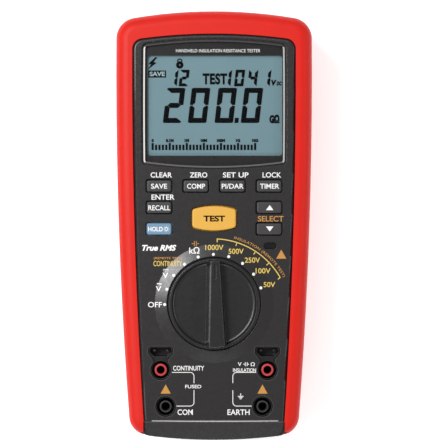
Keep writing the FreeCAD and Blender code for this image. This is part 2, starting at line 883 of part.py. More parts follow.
def make_display_lens():
    body = new_body("display_lens")
    add(body, s.lens_under, s.lens_over, barrel, LENS)
    soften(body, sized(0.8), level(s.lens_over), CHAMFER)
    return body


def make_display_mask():
    body = new_body("display_mask")
    add(body, s.lens_under - 0.15, s.lens_under, barrel, shrink(LENS, 0.1))
    remove(
        body,
        s.lens_under - 1,
        s.lens_under + 1,
        rounded,
        s.window_left,
        s.window_right,
        s.window_bottom,
        s.window_top,
        sized(1.6),
    )
    return body


def make_lcd_glass():
    body = new_body("lcd_glass")
    add(body, s.glass_under, s.glass_over, rectangle, sized(-38), sized(38), sized(32), sized(92.4))
    soften(body, sized(0.2), level(s.glass_over), CHAMFER)
    return body


def make_lcd_holder():
    body = new_body("lcd_holder")
    low = s.main_board_high
    over = s.glass_over + 1
    add(body, low, s.glass_over + 0.2, rounded, sized(-39.6), sized(39.6), sized(31), sized(93.2), sized(1.2))
    remove(body, low - 1, over, rectangle, sized(-37), sized(37), sized(32.3), sized(92.1))
    remove(body, s.glass_under, over, rectangle, sized(-38.1), sized(38.1), sized(31.9), sized(92.5))
    return body


def make_backlight_guide():
    body = new_body("backlight_guide")
    add(body, sized(41.9), s.glass_under, rectangle, sized(-36.8), sized(36.8), sized(35.4), sized(89))
    soften(body, sized(0.6), level(41.9), CHAMFER)
    return body


def make_zebra_connectors():
    low = s.main_board_high
    lower = box("zebra_low", sized(-36), sized(36), sized(32.5), sized(34.7), low, s.glass_under)
    upper = box("zebra_high", sized(-36), sized(36), sized(89.7), sized(91.9), low, s.glass_under)
    return group("zebra_connectors", [lower, upper])


def make_sensor_window():
    x, y = SENSOR
    body = new_body("sensor_window")
    add(body, s.ceiling - 0.9, s.ceiling - 0.1, pill, x, y, sized(8.4), sized(5.2))
    add(body, s.ceiling - 0.9, s.face - 0.4, pill, x, y, sized(6.6), sized(3.4))
    return body


# ---------------------------------------------------------------- keys


def make_key(name):
    body = new_body(name)
    x, y = key_place(name)
    wide = s.key_width / 2
    high = s.key_height / 2
    add(body, s.flange_low, s.key_top, rounded, x - wide, x + wide, y - high, y + high, sized(1.0))
    soften(body, sized(0.7), level(s.key_top))
    wide = wide + s.key_flange
    high = high + s.key_flange
    add(body, s.flange_low, s.flange_high, rectangle, x - wide, x + wide, y - high, y + high)
    add(body, s.plunger_low, s.flange_low + 0.5, circle, x, y, sized(2.0))
    return body


def make_test_button():
    body = new_body("test_button")
    add(body, s.flange_low, s.test_top, barrel, TEST_BUTTON)
    soften(body, sized(0.8), level(s.test_top))
    add(body, s.flange_low, s.flange_high, barrel, shrink(TEST_BUTTON, -s.key_flange))
    add(body, s.plunger_low, s.flange_low + 0.5, circle, 0, s.test_y, sized(2.0))
    return body


def make_key_mat():
    """Rubber sheet on the main board, with a hollow-looking dome under each key."""
    body = new_body("key_mat")
    low = s.main_board_high
    sheet_top = low + 0.7
    add(body, low, sheet_top, rounded, sized(-36.4), sized(36.4), sized(-6.4), sized(24.4), sized(2.0))
    places = [key_place(name) for name in KEYS] + [(0, s.test_y)]
    for x, y in places:
        dome = body.newObject("PartDesign::AdditiveCone", "AdditiveCone")
        attach(dome, body, "XY_Plane", sheet_top - 0.1, x, y)
        tie(dome, "Radius1", sized(3.6))
        tie(dome, "Radius2", sized(2.2))
        tie(dome, "Height", sized(1.8))
    return body


# ---------------------------------------------------------------- dial


def make_rotary_dial():
    body = new_body("rotary_dial")
    edge = 0.7
    dish_wall = root(s.dish_depth * (s.dish_round * 2 - s.dish_depth))
    revolve(
        body,
        [
            (0, sized(40.8)),
            (s.hub_radius, sized(40.8)),
            (s.hub_radius, s.skirt_low),
            (s.dial_radius, s.skirt_low),
            (s.dial_radius, s.skirt_high - edge),
            (s.dial_radius - edge, s.skirt_high),
            (s.dish_radius, s.skirt_high),
            (s.dish_radius - dish_wall, s.skirt_high - s.dish_depth),
            (0, s.skirt_high - s.dish_depth),
        ],
        {6: -s.dish_round},
        y=s.dial_y,
    )
    base = grip_section(body, sized(51.2), -3.9, 3.6, -4.6, 6.4)
    top = grip_section(body, s.dial_top, -1.9, 3.0, -2.8, 5.8)
    loft = body.newObject("PartDesign::AdditiveLoft", "AdditiveLoft")
    loft.Profile = base
    loft.Sections = [top]
    loft.Ruled = True
    soften(body, sized(0.9), level(s.dial_top))
    mark_half = 0.6
    remove(
        body,
        s.dial_top - 0.5,
        s.dial_top + 1,
        pill_upright,
        sized(0.6),
        s.dial_y + 17.0,
        sized(mark_half * 2),
        sized(7.4),
    )
    return body


def grip_section(body, height, pointer_left, pointer_right, tail_left, tail_right):
    """Section of the grip: straight long sides and ends that follow a circle about the dial's axis."""
    sketch = new_sketch(body, height, y=s.dial_y)

    def on_circle(x, way):
        return sized(x), root(s.grip_radius * s.grip_radius - x * x) * way

    polygon(
        sketch,
        [
            on_circle(pointer_right, 1),
            on_circle(pointer_left, 1),
            on_circle(tail_left, -1),
            on_circle(tail_right, -1),
        ],
        {0: s.grip_radius, 2: s.grip_radius},
    )
    return sketch


def pill_upright(sketch, x, y, width, length):
    reach = length / 2 - width / 2
    radius = (width / 2) * 1.0001
    polygon(
        sketch,
        [
            (x + width / 2, y - reach),
            (x + width / 2, y + reach),
            (x - width / 2, y + reach),
            (x - width / 2, y - reach),
        ],
        {1: radius, 3: radius},
    )


def make_dial_rotor():
    """Notched disc under the face that carries the sliding contacts."""
    body = new_body("dial_rotor")
    low, high, radius, notches = 41.6, 44.4, 20, 20
    add(body, sized(low), sized(high), ring, s.hub_radius, sized(radius), y=s.dial_y)
    notch = remove(body, sized(low), sized(high), circle, sized(radius + 0.5), 0, sized(1.3), y=s.dial_y)
    repeat_round(body, notch, notches)
    return body


def make_dial_clip():
    """Spring clip on the hub, between the rotor and the well's floor, with a slot in its rim."""
    body = new_body("dial_clip")
    low, high, slot_half = sized(44.4), sized(45.0), sized(1.5)
    slot_start, slot_end = s.hub_radius - 1, s.hub_radius + 4
    add(body, low, high, ring, s.hub_radius, s.hub_radius + 2.2, y=s.dial_y)
    remove(body, low - 1, high + 1, rectangle, -slot_half, slot_half, slot_start, slot_end, y=s.dial_y)
    return body


def make_dial_washer():
    body = new_body("dial_washer")
    low = s.well_floor + 0.05
    add(body, low, s.skirt_low, ring, s.hub_radius + 0.6, s.hub_radius + 4, y=s.dial_y)
    return body


def make_wiper_contacts():
    """Three forked contacts on the rotor's underside."""
    low = s.main_board_high + 0.1
    high = sized(41.6)
    prongs = []
    for place_index, (x, y) in enumerate([(-14, -3), (5, 11), (9, -13)]):
        for side in (0, 2.4):
            name = f"wiper_{place_index}_{'left' if side else 'right'}"
            left = sized(x) + side
            bottom = s.dial_y + y
            prongs.append(box(name, left, left + 1.2, bottom, bottom + 5, low, high))
    return group("wiper_contacts", prongs)


def make_detent_spring():
    """Leaf spring with a roller that clicks into the rotor's notches."""
    low, high = sized(41.8), sized(44.2)
    leaf_left = sized(22.3)
    leaf = box("detent_leaf", leaf_left, leaf_left + 0.6, s.dial_y - 11, s.dial_y + 11, low, high)
    roller = cylinder("detent_roller", leaf_left - 1, s.dial_y, low, high, sized(1.05))
    feet = []
    for name, y in (("low", -13), ("high", 10)):
        bottom = s.dial_y + y
        foot = box(f"detent_foot_{name}", leaf_left, sized(25), bottom, bottom + 3, s.main_board_high, high)
        feet.append(foot)
    return fuse("detent_spring", leaf, roller, *feet)


# ---------------------------------------------------------------- jacks


def make_terminal_block():
    """Moulded block under the face: four jack wells and two keyed sockets."""
    body = new_body("terminal_block")
    plate_low, plate_high = sized(46.2), s.ceiling - 0.1
    socket_floor = sized(41.5)
    outer = s.well_radius + 1.2
    add(body, plate_low, plate_high, rounded, sized(-34), sized(34), sized(-99.4), sized(-61.8), sized(3.5))
    remove(body, plate_low - 1, plate_high + 1, circle, 0, s.dial_y, sized(27.6))
    for x, y in JACKS.values():
        add(body, sized(33), plate_high, circle, x, y, outer)
        add(body, plate_low, s.island_top, circle, x, y, s.island_radius)
    for x in (-s.upper_jack_x, s.upper_jack_x):
        add(body, socket_floor - 1.3, plate_high, keyed_outline, x, 0.85)
        add(body, plate_low, s.island_top, keyed_outline, x, 0.0)
        remove(body, socket_floor, s.face, keyed_hole, x)
        for side in REMOTE_PINS:
            remove(body, socket_floor - 2, s.face, circle, x + side, s.remote_y, sized(0.6))
    for x, y in JACKS.values():
        remove(body, s.well_low, s.face, circle, x, y, s.well_radius)
        remove(body, sized(32), s.face, circle, x, y, s.sleeve_radius + 0.05)
    return body


def make_sleeve(name, x, y):
    """Insulating tube of a jack, with a lip over the mouth of the brass tube."""
    body = new_body(f"sleeve_{name}")
    foot = sized(30)
    collar_low, collar_high = sized(31), sized(33)
    add(body, foot, s.sleeve_top, circle, x, y, s.sleeve_radius)
    soften(body, sized(0.35), level(s.sleeve_top))
    add(body, collar_low, collar_high, circle, x, y, s.sleeve_radius + 1.3)
    remove(body, foot - 1, s.sleeve_top + 1, circle, x, y, s.jack_bore + 0.15)
    remove(body, foot - 1, s.contact_high, circle, x, y, s.contact_radius + 0.05)
    return body


def make_contact(name, x, y):
    """Brass tube of a jack with its solder pin."""
    body = new_body(f"contact_{name}")
    pin_length = s.contact_low - s.power_board_high
    add(body, s.contact_low - 0.8, s.contact_high, circle, x, y, s.contact_radius)
    remove(body, s.contact_low, s.contact_high + 1, circle, x, y, s.jack_bore)
    add(body, s.contact_low - pin_length, s.contact_low - 0.4, circle, x, y, sized(1.1))
    return body


def make_remote_contacts():
    low, high, radius = sized(38), sized(47), sized(0.6)
    pins = []
    for side, x in (("left", -s.upper_jack_x), ("right", s.upper_jack_x)):
        for index, offset in enumerate(REMOTE_PINS, 1):
            pins.append(cylinder(f"remote_{side}_{index}", x + offset, s.remote_y, low, high, radius))
    return group("remote_contacts", pins)


# ---------------------------------------------------------------- boards


def make_main_board():
    body = new_body("main_board")
    low, high = s.main_board_low, s.main_board_high
    add(body, low, high, rounded, sized(-40), sized(40), sized(-62), sized(92), sized(3))
    for x, y in BOARD_POSTS + SPACERS:
        remove(body, low - 1, high + 1, circle, sized(x), sized(y), sized(1.25))
    return body


def make_power_board():
    body = new_body("power_board")
    low, high = s.power_board_low, s.power_board_high
    add(body, low, high, rounded, sized(-34), sized(34), sized(-99.5), sized(20), sized(3))
    for x, y in SPACERS:
        remove(body, low - 1, high + 1, circle, sized(x), sized(y), sized(1.25))
    return body


def make_board_header():
    """Connector between the boards: a moulded strip with two rows of pins."""
    strip_top = sized(34.4)
    strip = box("header_strip", sized(-14), sized(14), sized(8), sized(13.4), s.power_board_high, strip_top)
    pins = []
    columns = 10
    pitch = 2.54
    for column in range(columns):
        x = sized((column - (columns - 1) / 2) * pitch)
        for row, y in enumerate((9.4, 12.0)):
            name = f"header_pin_{column}_{row}"
            pins.append(cylinder(name, x, sized(y), strip_top, s.main_board_low, sized(0.4)))
    return fuse("board_header", strip, *pins)


def make_board_spacers():
    spacers = []
    for index, (x, y) in enumerate(SPACERS, 1):
        low, high = s.power_board_high, s.main_board_low
        tube = cylinder(f"spacer_{index}", sized(x), sized(y), low, high, sized(2.5))
        bore = cylinder(f"spacer_{index}_bore", sized(x), sized(y), low, high, sized(1.25))
        spacers.append(cut(f"spacer_{index}_tube", tube, bore))
    return group("board_spacers", spacers)


def make_board_screws():
    screws = []
    for index, (x, y) in enumerate(BOARD_POSTS, 1):
        head_high = s.main_board_low
        head = (sized(x), sized(y), head_high - 1.6, head_high, sized(2.2))
        screws.append(screw(f"post_screw_{index}", *head, sized(1.05), s.ceiling - 2.5))
    for index, (x, y) in enumerate(SPACERS, 1):
        head_high = s.power_board_low
        head = (sized(x), sized(y), head_high - 1.6, head_high, sized(2.2))
        screws.append(screw(f"spacer_screw_{index}", *head, sized(1.05), s.power_board_high + 6))
    return group("board_screws", screws)


def make_processor_chip():
    """Flat square package with legs on four sides, under the main board."""
    half, high = 7, s.main_board_low
    middle = sized(62)
    heights = (high - 1.7, high - 0.15)
    package = box("chip_package", sized(-half), sized(half), middle - half, middle + half, *heights)
    legs = []
    count = 12
    pitch = 1.0
    leg_half = 0.2
    leg_low = high - 0.6
    for leg in range(count):
        along = (leg - (count - 1) / 2) * pitch
        near, far = along - leg_half, along + leg_half
        for way in (-1, 1):
            inner, outer = sorted((way * (half - 0.2), way * (half + 1)))
            across = (sized(inner), sized(outer), middle + near, middle + far)
            endways = (sized(near), sized(far), middle + inner, middle + outer)
            legs.append(box(f"leg_x_{leg}_{way + 1}", *across, leg_low, high))
            legs.append(box(f"leg_y_{leg}_{way + 1}", *endways, leg_low, high))
    return fuse("processor_chip", package, *legs)


def make_buzzer():
    high = s.main_board_low
    x, y = sized(24), sized(78)
    can = cylinder("buzzer_can", x, y, high - 7, high, sized(6.5))
    port = cylinder("buzzer_port", x, y, high - 8, high - 5.5, sized(1.2))
    return cut("buzzer", can, port)


def make_transformer_core():
    """Two E cores with their middle leg inside the winding."""
    low = s.power_board_high
    left, right, bottom, top = sized(-10), sized(10), sized(-48), sized(-30)
    block = box("core_block", left, right, bottom, top, low, low + 11.5)
    windows = [
        box(f"core_window_{name}", sized(a), sized(b), bottom - 1, top + 1, low + 2.5, low + 9)
        for name, a, b in (("left", -7.5, -2.5), ("right", 2.5, 7.5))
    ]
    return cut("transformer_core", block, *windows)


def make_transformer_winding():
    low = s.power_board_high + 2.7
    high = low + 6.1
    halves = [
        box(f"winding_{name}", sized(a), sized(b), sized(-50), sized(-28), low, high)
        for name, a, b in (("left", -7.3, -2.6), ("right", 2.6, 7.3))
    ]
    ends = [
        box(f"winding_end_{name}", sized(-7.3), sized(7.3), sized(y), sized(y + 1.8), low, high)
        for name, y in (("low", -50), ("high", -29.8))
    ]
    return fuse("transformer_winding", *halves, *ends)


def make_hv_capacitors():
    cans = [
        bar(f"capacitor_{index}", sized(-30), sized(-14), sized(y), s.power_board_high + 4.2, sized(4.2))
        for index, y in enumerate((-46, -36), 1)
    ]
    return group("hv_capacitors", cans)


def make_relays():
    cases = [
        box(f"relay_{index}", sized(15), sized(30), sized(y), sized(y + 8), s.power_board_high, sized(36))
        for index, y in enumerate((-48, -38, -28), 1)
    ]
    return group("relays", cases)


def make_fuse():
    """Ceramic fuse with a cap at each end."""
    tube = bar("fuse_tube", sized(-11), sized(11), FUSE_Y, FUSE_Z, sized(2.9))
    caps = [
        bar(f"fuse_cap_{name}", sized(left), sized(right), FUSE_Y, FUSE_Z, FUSE_CAP_RADIUS)
        for name, left, right in (("left", -16, -9.5), ("right", 9.5, 16))
    ]
    return fuse("fuse", tube, *caps)


def make_fuse_clips():
    board = s.power_board_high
    clips = []
    for name, x in (("left", -14.5), ("right", 10.5)):
        left, right = sized(x), sized(x + 4)
        block = box(f"clip_{name}", left, right, FUSE_Y - 3.8, FUSE_Y + 3.8, board, FUSE_Z + 2)
        ends = (left - 1, right + 1)
        hole = bar(f"clip_{name}_hole", *ends, FUSE_Y, FUSE_Z, FUSE_CAP_RADIUS)
        mouth = box(f"clip_{name}_mouth", *ends, FUSE_Y - 2.4, FUSE_Y + 2.4, FUSE_Z, FUSE_Z + 4)
        under = box(f"clip_{name}_under", *ends, FUSE_Y - 3.2, FUSE_Y + 3.2, board + 0.6, FUSE_Z - 2.2)
        clips.append(cut(f"fuse_clip_{name}", block, hole, mouth, under))
    return group("fuse_clips", clips)


# ---------------------------------------------------------------- battery bay


def cell_places():
    return [s.first_cell_y + s.cell_pitch * index for index in range(6)]


def make_battery_tray():
    body = new_body("battery_tray")
    half = s.bay_half + 1.3
    low = s.floor
    low_y, high_y = s.bay_low_y - 1.3, s.bay_high_y + 1
    add(body, low, TRAY_TOP, rounded, -half, half, low_y, high_y, sized(1.5))
    remove(body, low - 1, s.tray_roof, rectangle, -s.bay_half, s.bay_half, s.bay_low_y, s.bay_high_y)
    return body


def make_battery_cells():
    """Six AA cells, each a can with a nub, turned end for end one after another."""
    cells = []
    for index, y in enumerate(cell_places()):
        way = 1 if index % 2 else -1
        left = -s.cell_length / 2
        can = bar(f"cell_can_{index}", left, -left, y, s.cell_z, s.cell_radius)
        nub_left = -left - 0.5 if way > 0 else left - 1.3
        nub = bar(f"cell_nub_{index}", nub_left, nub_left + 1.8, y, s.cell_z, sized(2.75))
        cells.append(fuse(f"cell_{index}", can, nub))
    return group("battery_cells", cells)


def make_battery_springs():
    """Bent strip at the flat end of each cell: a foot on the plate and a leg that presses on the cell."""
    springs = []
    half_strip = 2.5
    foot = [(28.8, -4.2), (28.8, 4.2), (28.5, 4.2), (28.5, -3.3)]
    leg = [(25.15, 1.4), (26.2, 3.7), (25.9, 3.84), (24.85, 1.35)]
    for index, y in enumerate(cell_places()):
        side = -1 if index % 2 else 1
        body = new_body(f"spring_{index}")
        sketch = new_sketch(body, 0 - y - half_strip, plane="XZ_Plane")
        polygon(sketch, [(sized(x * side), s.cell_z + z) for x, z in foot + leg])
        pad = body.newObject("PartDesign::Pad", "Pad")
        pad.Profile = sketch
        tie(pad, "Length", sized(half_strip * 2))
        springs.append(body)
    return group("battery_springs", springs)


def make_battery_plates():
    """Plates that join the cells in series, three on the right and four on the left."""
    thick = 0.4
    reach = 5.5
    plates = []
    places = cell_places()
    right = ("right", s.bay_half - thick, s.bay_half, [(0, 1), (2, 3), (4, 5)])
    left = ("left", -s.bay_half, thick - s.bay_half, [(0, 0), (1, 2), (3, 4), (5, 5)])
    for side, near, far, pairs in (right, left):
        for first, last in pairs:
            low, high = places[first] - reach, places[last] + reach
            plates.append(box(f"plate_{side}_{first}", near, far, low, high, s.cell_z - 5, s.cell_z + 5))
    return group("battery_plates", plates)


def make_battery_tabs():
    """Solder tabs from the tray up to the power board."""
    places = cell_places()
    tabs = [
        box(f"tab_{name}", sized(-27.5), sized(-27.0), y - 2, y + 2, TRAY_TOP, s.power_board_low)
        for name, y in (("plus", places[0]), ("minus", places[5]))
    ]
    return group("battery_tabs", tabs)


def make_battery_cover():
    body = new_body("battery_cover")
    low, high = s.back_plateau, s.cover_over
    tongue_half = s.cover_tongue_half
    tongue_y = (s.cover_tongue_y, s.cover_low_y + 3)
    add(body, low, high, rounded, -s.cover_half, s.cover_half, s.cover_low_y, s.cover_high_y, sized(2.0))
    add(body, low, high, rounded, -tongue_half, tongue_half, *tongue_y, sized(1.4))
    soften(body, sized(0.3), level(low), CHAMFER)
    for x, y in COVER_SCREWS:
        remove(body, low - 1, sized(2.2), circle, sized(x), sized(y), sized(2.7))
        remove(body, low, s.cover_over + 1, circle, sized(x), sized(y), sized(1.3))
    ribs = 7
    rib_pitch = 3.0
    for rib in range(ribs):
        y = -62 + rib * rib_pitch
        remove(body, low - 1, low + 0.5, rectangle, sized(-16), sized(16), sized(y), sized(y + 1.2))
    return body


def make_cover_screws():
    head_low, head_high, head_radius = s.back_plateau + 0.1, sized(2.2), sized(2.5)
    shank_radius, shank_end = sized(1.15), sized(7.0)
    sizes = (head_low, head_high, head_radius, shank_radius, shank_end)
    places = enumerate(COVER_SCREWS, 1)
    screws = [screw(f"cover_screw_{i}", sized(x), sized(y), *sizes) for i, (x, y) in places]
    return group("cover_screws", screws)


def make_cover_inserts():
    inserts = []
    for index, (x, y) in enumerate(COVER_SCREWS, 1):
        low, high = sized(3.3), sized(7.5)
        outer = cylinder(f"insert_{index}_outer", sized(x), sized(y), low, high, sized(2.1))
        bore = cylinder(f"insert_{index}_bore", sized(x), sized(y), low - 1, high + 1, sized(1.2))
        inserts.append(cut(f"insert_{index}", outer, bore))
    return group("cover_inserts", inserts)


def make_tilt_stand():
    """Plate that folds out of the back, with its hinge barrel and pins."""
    body = new_body("tilt_stand")
    half = s.stand_half
    add(body, s.stand_low, s.stand_high, tongue, half, s.stand_low_y, s.stand_axis_y, sized(2.0))
    at_face = level(s.stand_low)
    below = s.stand_low - 1
    free_end = number(s.stand_axis_y) - 1
    soften(body, sized(0.5), lambda edge: at_face(edge) and edge.BoundBox.YMin < free_end, CHAMFER)
    make_barrel_along_x(body, half, sized(1.9))
    make_barrel_along_x(body, half + 2, sized(1.5))
    remove(body, below, s.stand_low + 1.2, rounded, sized(-20), sized(20), sized(12), sized(34), sized(2))
    lift_low, lift_high = s.stand_low_y - 1, s.stand_low_y + 3
    remove(body, below, s.stand_low + 1.4, rectangle, sized(-8), sized(8), lift_low, lift_high)
    return body


def tongue(sketch, half, bottom, top, corner):
    """Rectangle about the middle with round corners at its lower end only."""
    polygon(
        sketch,
        [
            (-half + corner, bottom),
            (half - corner, bottom),
            (half, bottom + corner),
            (half, top),
            (-half, top),
            (-half, bottom + corner),
        ],
        {1: corner, 5: corner},
    )


def make_barrel_along_x(body, half, radius):
    sketch = new_sketch(body, -half, plane="YZ_Plane")
    circle(sketch, s.stand_axis_y, s.stand_axis_z, radius)
    pad = body.newObject("PartDesign::Pad", "Pad")
    pad.Profile = sketch
    tie(pad, "Length", half * 2)


# ---------------------------------------------------------------- building and writing


def case_outline_wire():
    """Outline of the case as one wire, used to tell its outer edges from its inner ones."""
    body = new_body("outline_helper")
    sketch = new_sketch(body, s.parting)
    barrel(sketch, CASE)
    doc.recompute()
    wire = sketch.Shape.copy()
    body.removeObjectsFromDocument()
    doc.removeObject(body.Name)
    return wire


OUTLINE_WIRE = case_outline_wire()

pieces = [
    make_holster(),
    make_front_case(),
    make_back_case(),
    make_case_screws(),
    make_display_lens(),
    make_display_mask(),
    make_lcd_glass(),
    make_lcd_holder(),
    make_backlight_guide(),
    make_zebra_connectors(),
    make_sensor_window(),
    *[make_key(name) for name in KEYS],
    make_test_button(),
    make_key_mat(),
    make_rotary_dial(),
    make_dial_rotor(),
    make_dial_clip(),
    make_dial_washer(),
    make_wiper_contacts(),
    make_detent_spring(),
    make_terminal_block(),
    *[make_sleeve(name, x, y) for name, (x, y) in JACKS.items()],
    *[make_contact(name, x, y) for name, (x, y) in JACKS.items()],
    make_remote_contacts(),
    make_main_board(),
    make_power_board(),
    make_board_header(),
    make_board_spacers(),
    make_board_screws(),
    make_processor_chip(),
    make_buzzer(),
    make_transformer_core(),
    make_transformer_winding(),
    make_hv_capacitors(),
    make_relays(),
    make_fuse(),
    make_fuse_clips(),
    make_battery_tray(),
    make_battery_cells(),
    make_battery_springs(),
    make_battery_plates(),
    make_battery_tabs(),
    make_battery_cover(),
    make_cover_screws(),
    make_cover_inserts(),
    make_tilt_stand(),
]
doc.recompute()

faults = []
for thing in doc.Objects:
    if "Invalid" in thing.State or "Error" in thing.State:
        owner = thing.getParent()
        owner_name = owner.Label if owner else "document"
        faults.append(f"{owner_name} {thing.Name} failed: {thing.State} {thing.getStatusString()}")
    elif thing.TypeId == "PartDesign::Pocket":
        if thing.Shape.Volume > thing.BaseFeature.Shape.Volume - 0.001:
            faults.append(f"{thing.getParent().Label} {thing.Name} removes nothing")
for piece in pieces:
    if piece.Shape.isNull() or not piece.Shape.isValid():
        faults.append(f"{piece.Label} has no valid shape")
if faults:
    raise RuntimeError("\n".join(faults))

os.makedirs("parts", exist_ok=True)
for piece in pieces:
    shape = piece.Shape
    shape.exportStep(os.path.join("parts", f"{piece.Label}.step"))
    extent = shape.BoundBox
    reach = f"z {extent.ZMin:.2f}..{extent.ZMax:.2f}"
    print(f"{piece.Label}: {len(shape.Solids)} solids, {shape.Volume:.0f} mm3, {reach}")
print(f"{len(pieces)} nodes written")
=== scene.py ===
import math

import bpy
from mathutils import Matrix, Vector
from mathutils.bvhtree import BVHTree


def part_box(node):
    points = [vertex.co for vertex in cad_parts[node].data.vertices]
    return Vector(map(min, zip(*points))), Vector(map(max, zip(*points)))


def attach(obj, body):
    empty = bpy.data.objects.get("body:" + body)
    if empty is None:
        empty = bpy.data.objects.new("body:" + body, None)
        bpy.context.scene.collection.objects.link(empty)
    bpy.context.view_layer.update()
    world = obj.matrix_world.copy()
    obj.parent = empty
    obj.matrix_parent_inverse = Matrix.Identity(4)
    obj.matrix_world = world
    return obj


# Looks of the insulation resistance tester: finishes, printed legends, display content, studio.
# The tester lies on its back. X runs to the right, Y towards the display end, Z out of the face.
# Legend and display places are in millimetres in that frame; Blender's own data are in metres.

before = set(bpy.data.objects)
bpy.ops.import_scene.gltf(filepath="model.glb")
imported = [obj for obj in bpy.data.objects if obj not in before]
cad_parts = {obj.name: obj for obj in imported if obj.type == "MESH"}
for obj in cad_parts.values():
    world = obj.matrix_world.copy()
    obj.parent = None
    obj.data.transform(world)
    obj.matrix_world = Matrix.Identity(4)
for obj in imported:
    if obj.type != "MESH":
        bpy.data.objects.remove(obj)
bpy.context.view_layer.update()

SCENE = bpy.context.scene
MM = 0.001
WHITE = (1.0, 1.0, 1.0, 1.0)
# sockets of a Mix node that mixes colours: its two colours, and its result
MIX_FIRST, MIX_SECOND, MIX_RESULT = 6, 7, 2

# ---------------------------------------------------------------- colours and node helpers


def linear(colour):
    """Linear colour with alpha from screen values of 0 to 255."""
    out = []
    for part in colour:
        part = part / 255
        out.append(part / 12.92 if part <= 0.04045 else ((part + 0.055) / 1.055) ** 2.4)
    return (*out, 1.0)


class Finish:
    """A node material whose patterns are laid out in millimetres of the part's own frame."""

    def __init__(self, name):
        self.material = bpy.data.materials.new(name)
        self.material.use_nodes = True
        self.tree = self.material.node_tree
        self.shader = self.tree.nodes["Principled BSDF"]
        coords = self.node("ShaderNodeTexCoord")
        scale = self.node("ShaderNodeVectorMath", operation="SCALE")
        scale.inputs["Scale"].default_value = 1 / MM
        self.link(coords.outputs["Object"], scale.inputs[0])
        self.place = scale.outputs["Vector"]

    def node(self, kind, **settings):
        """New node with those settings."""
        made = self.tree.nodes.new(kind)
        for key, value in settings.items():
            setattr(made, key, value)
        return made

    def link(self, source, target):
        """Joins an output socket to an input socket."""
        self.tree.links.new(source, target)

    def set(self, **sockets):
        """Plain values on the shader's own sockets; an underscore stands for a space."""
        for key, value in sockets.items():
            self.shader.inputs[key.replace("_", " ")].default_value = value

    def noise(self, size, detail=3.0, rough=0.55, stretch=None):
        """Noise with features of about that size in millimetres, denser along a large stretch."""
        place = self.place
        if stretch:
            squash = self.node("ShaderNodeVectorMath", operation="MULTIPLY")
            squash.inputs[1].default_value = stretch
            self.link(place, squash.inputs[0])
            place = squash.outputs["Vector"]
        made = self.node("ShaderNodeTexNoise")
        made.inputs["Scale"].default_value = 1 / size
        made.inputs["Detail"].default_value = detail
        made.inputs["Roughness"].default_value = rough
        self.link(place, made.inputs["Vector"])
        return made.outputs["Fac"]

    def spread(self, value, low, high, start=0.3, end=0.7):
        """Maps noise from start..end to low..high."""
        made = self.node("ShaderNodeMapRange")
        limits = {"From Min": start, "From Max": end, "To Min": low, "To Max": high}
        for key, number in limits.items():
            made.inputs[key].default_value = number
        self.link(value, made.inputs["Value"])
        return made.outputs["Result"]

    def blend(self, factor, first, second):
        """Mixes two colours, each a socket or a plain colour."""
        made = self.node("ShaderNodeMix", data_type="RGBA")
        self.link(factor, made.inputs["Factor"])
        for index, colour in ((MIX_FIRST, first), (MIX_SECOND, second)):
            if isinstance(colour, tuple):
                made.inputs[index].default_value = colour
            else:
                self.link(colour, made.inputs[index])
        return made.outputs[MIX_RESULT]

    def relief(self, value, depth, below=None):
        """Bump of that depth in millimetres, over another normal if one is given."""
        made = self.node("ShaderNodeBump")
        made.inputs["Strength"].default_value = 1.0
        made.inputs["Distance"].default_value = depth * MM
        self.link(value, made.inputs["Height"])
        if below is not None:
            self.link(below, made.inputs["Normal"])
        return made.outputs["Normal"]

    def rounded(self, radius):
        """Normal of edges rounded by that radius, in millimetres."""
        made = self.node("ShaderNodeBevel", samples=6)
        made.inputs["Radius"].default_value = radius * MM
        return made.outputs["Normal"]


def tones(colour, change):
    """A darker and a lighter tone of a colour; the light one is lifted a little even from black."""
    lift = change * 0.004
    base = linear(colour)[:3]
    dark = tuple(part * (1 - change) for part in base)
    light = tuple(min(1.0, part * (1 + change) + lift) for part in base)
    return (*dark, 1.0), (*light, 1.0)


def moulded(
    name, colour, roughness, grain=0.35, depth=0.012, mottle=0.08, edge=0.25, **sockets
):
    """Moulded plastic or rubber: fine spark-eroded grain, uneven tone and gloss, softened edges.

    grain and depth are the grain's size and relief, mottle is how far the tone changes, and edge is
    the radius that edges look rounded by; the lengths are in millimetres."""
    tone_patch, gloss_patch, gloss_change = 9.0, 2.4, 0.03
    finish = Finish(name)
    fine = finish.noise(grain, detail=4.0, rough=0.6)
    broad = finish.noise(tone_patch, detail=5.0)
    dark, light = tones(colour, mottle)
    speck = tones(colour, mottle * 0.6)[0]
    shade = finish.spread(broad, 0.0, 1.0)
    fine_shade = finish.spread(fine, 0.0, 1.0, 0.25, 0.75)
    coarse = finish.blend(shade, dark, light)
    finish.link(finish.blend(fine_shade, speck, coarse), finish.shader.inputs["Base Color"])
    uneven = finish.noise(gloss_patch)
    gloss = finish.spread(uneven, roughness - gloss_change, roughness + gloss_change)
    finish.link(gloss, finish.shader.inputs["Roughness"])
    normal = finish.relief(fine, depth, finish.rounded(edge) if edge else None)
    finish.link(normal, finish.shader.inputs["Normal"])
    finish.set(**sockets)
    return finish.material


def metal(name, colour, roughness, stretch=(1.0, 1.0, 0.08)):
    """Drawn or turned metal with fine lines and slightly uneven tarnish."""
    line_gap, stain, tarnish_change, softened = 0.12, 3.0, 0.18, 0.12
    finish = Finish(name)
    lines = finish.noise(line_gap, detail=2.0, stretch=stretch)
    tarnish = finish.noise(stain, detail=4.0)
    dark, light = tones(colour, tarnish_change)
    shade = finish.spread(tarnish, 0.0, 1.0)
    finish.link(finish.blend(shade, dark, light), finish.shader.inputs["Base Color"])
    gloss = finish.spread(lines, roughness - 0.06, roughness + 0.08)
    finish.link(gloss, finish.shader.inputs["Roughness"])
    normal = finish.relief(lines, 0.004, finish.rounded(softened))
    finish.link(normal, finish.shader.inputs["Normal"])
    finish.set(Metallic=1.0)
    return finish.material


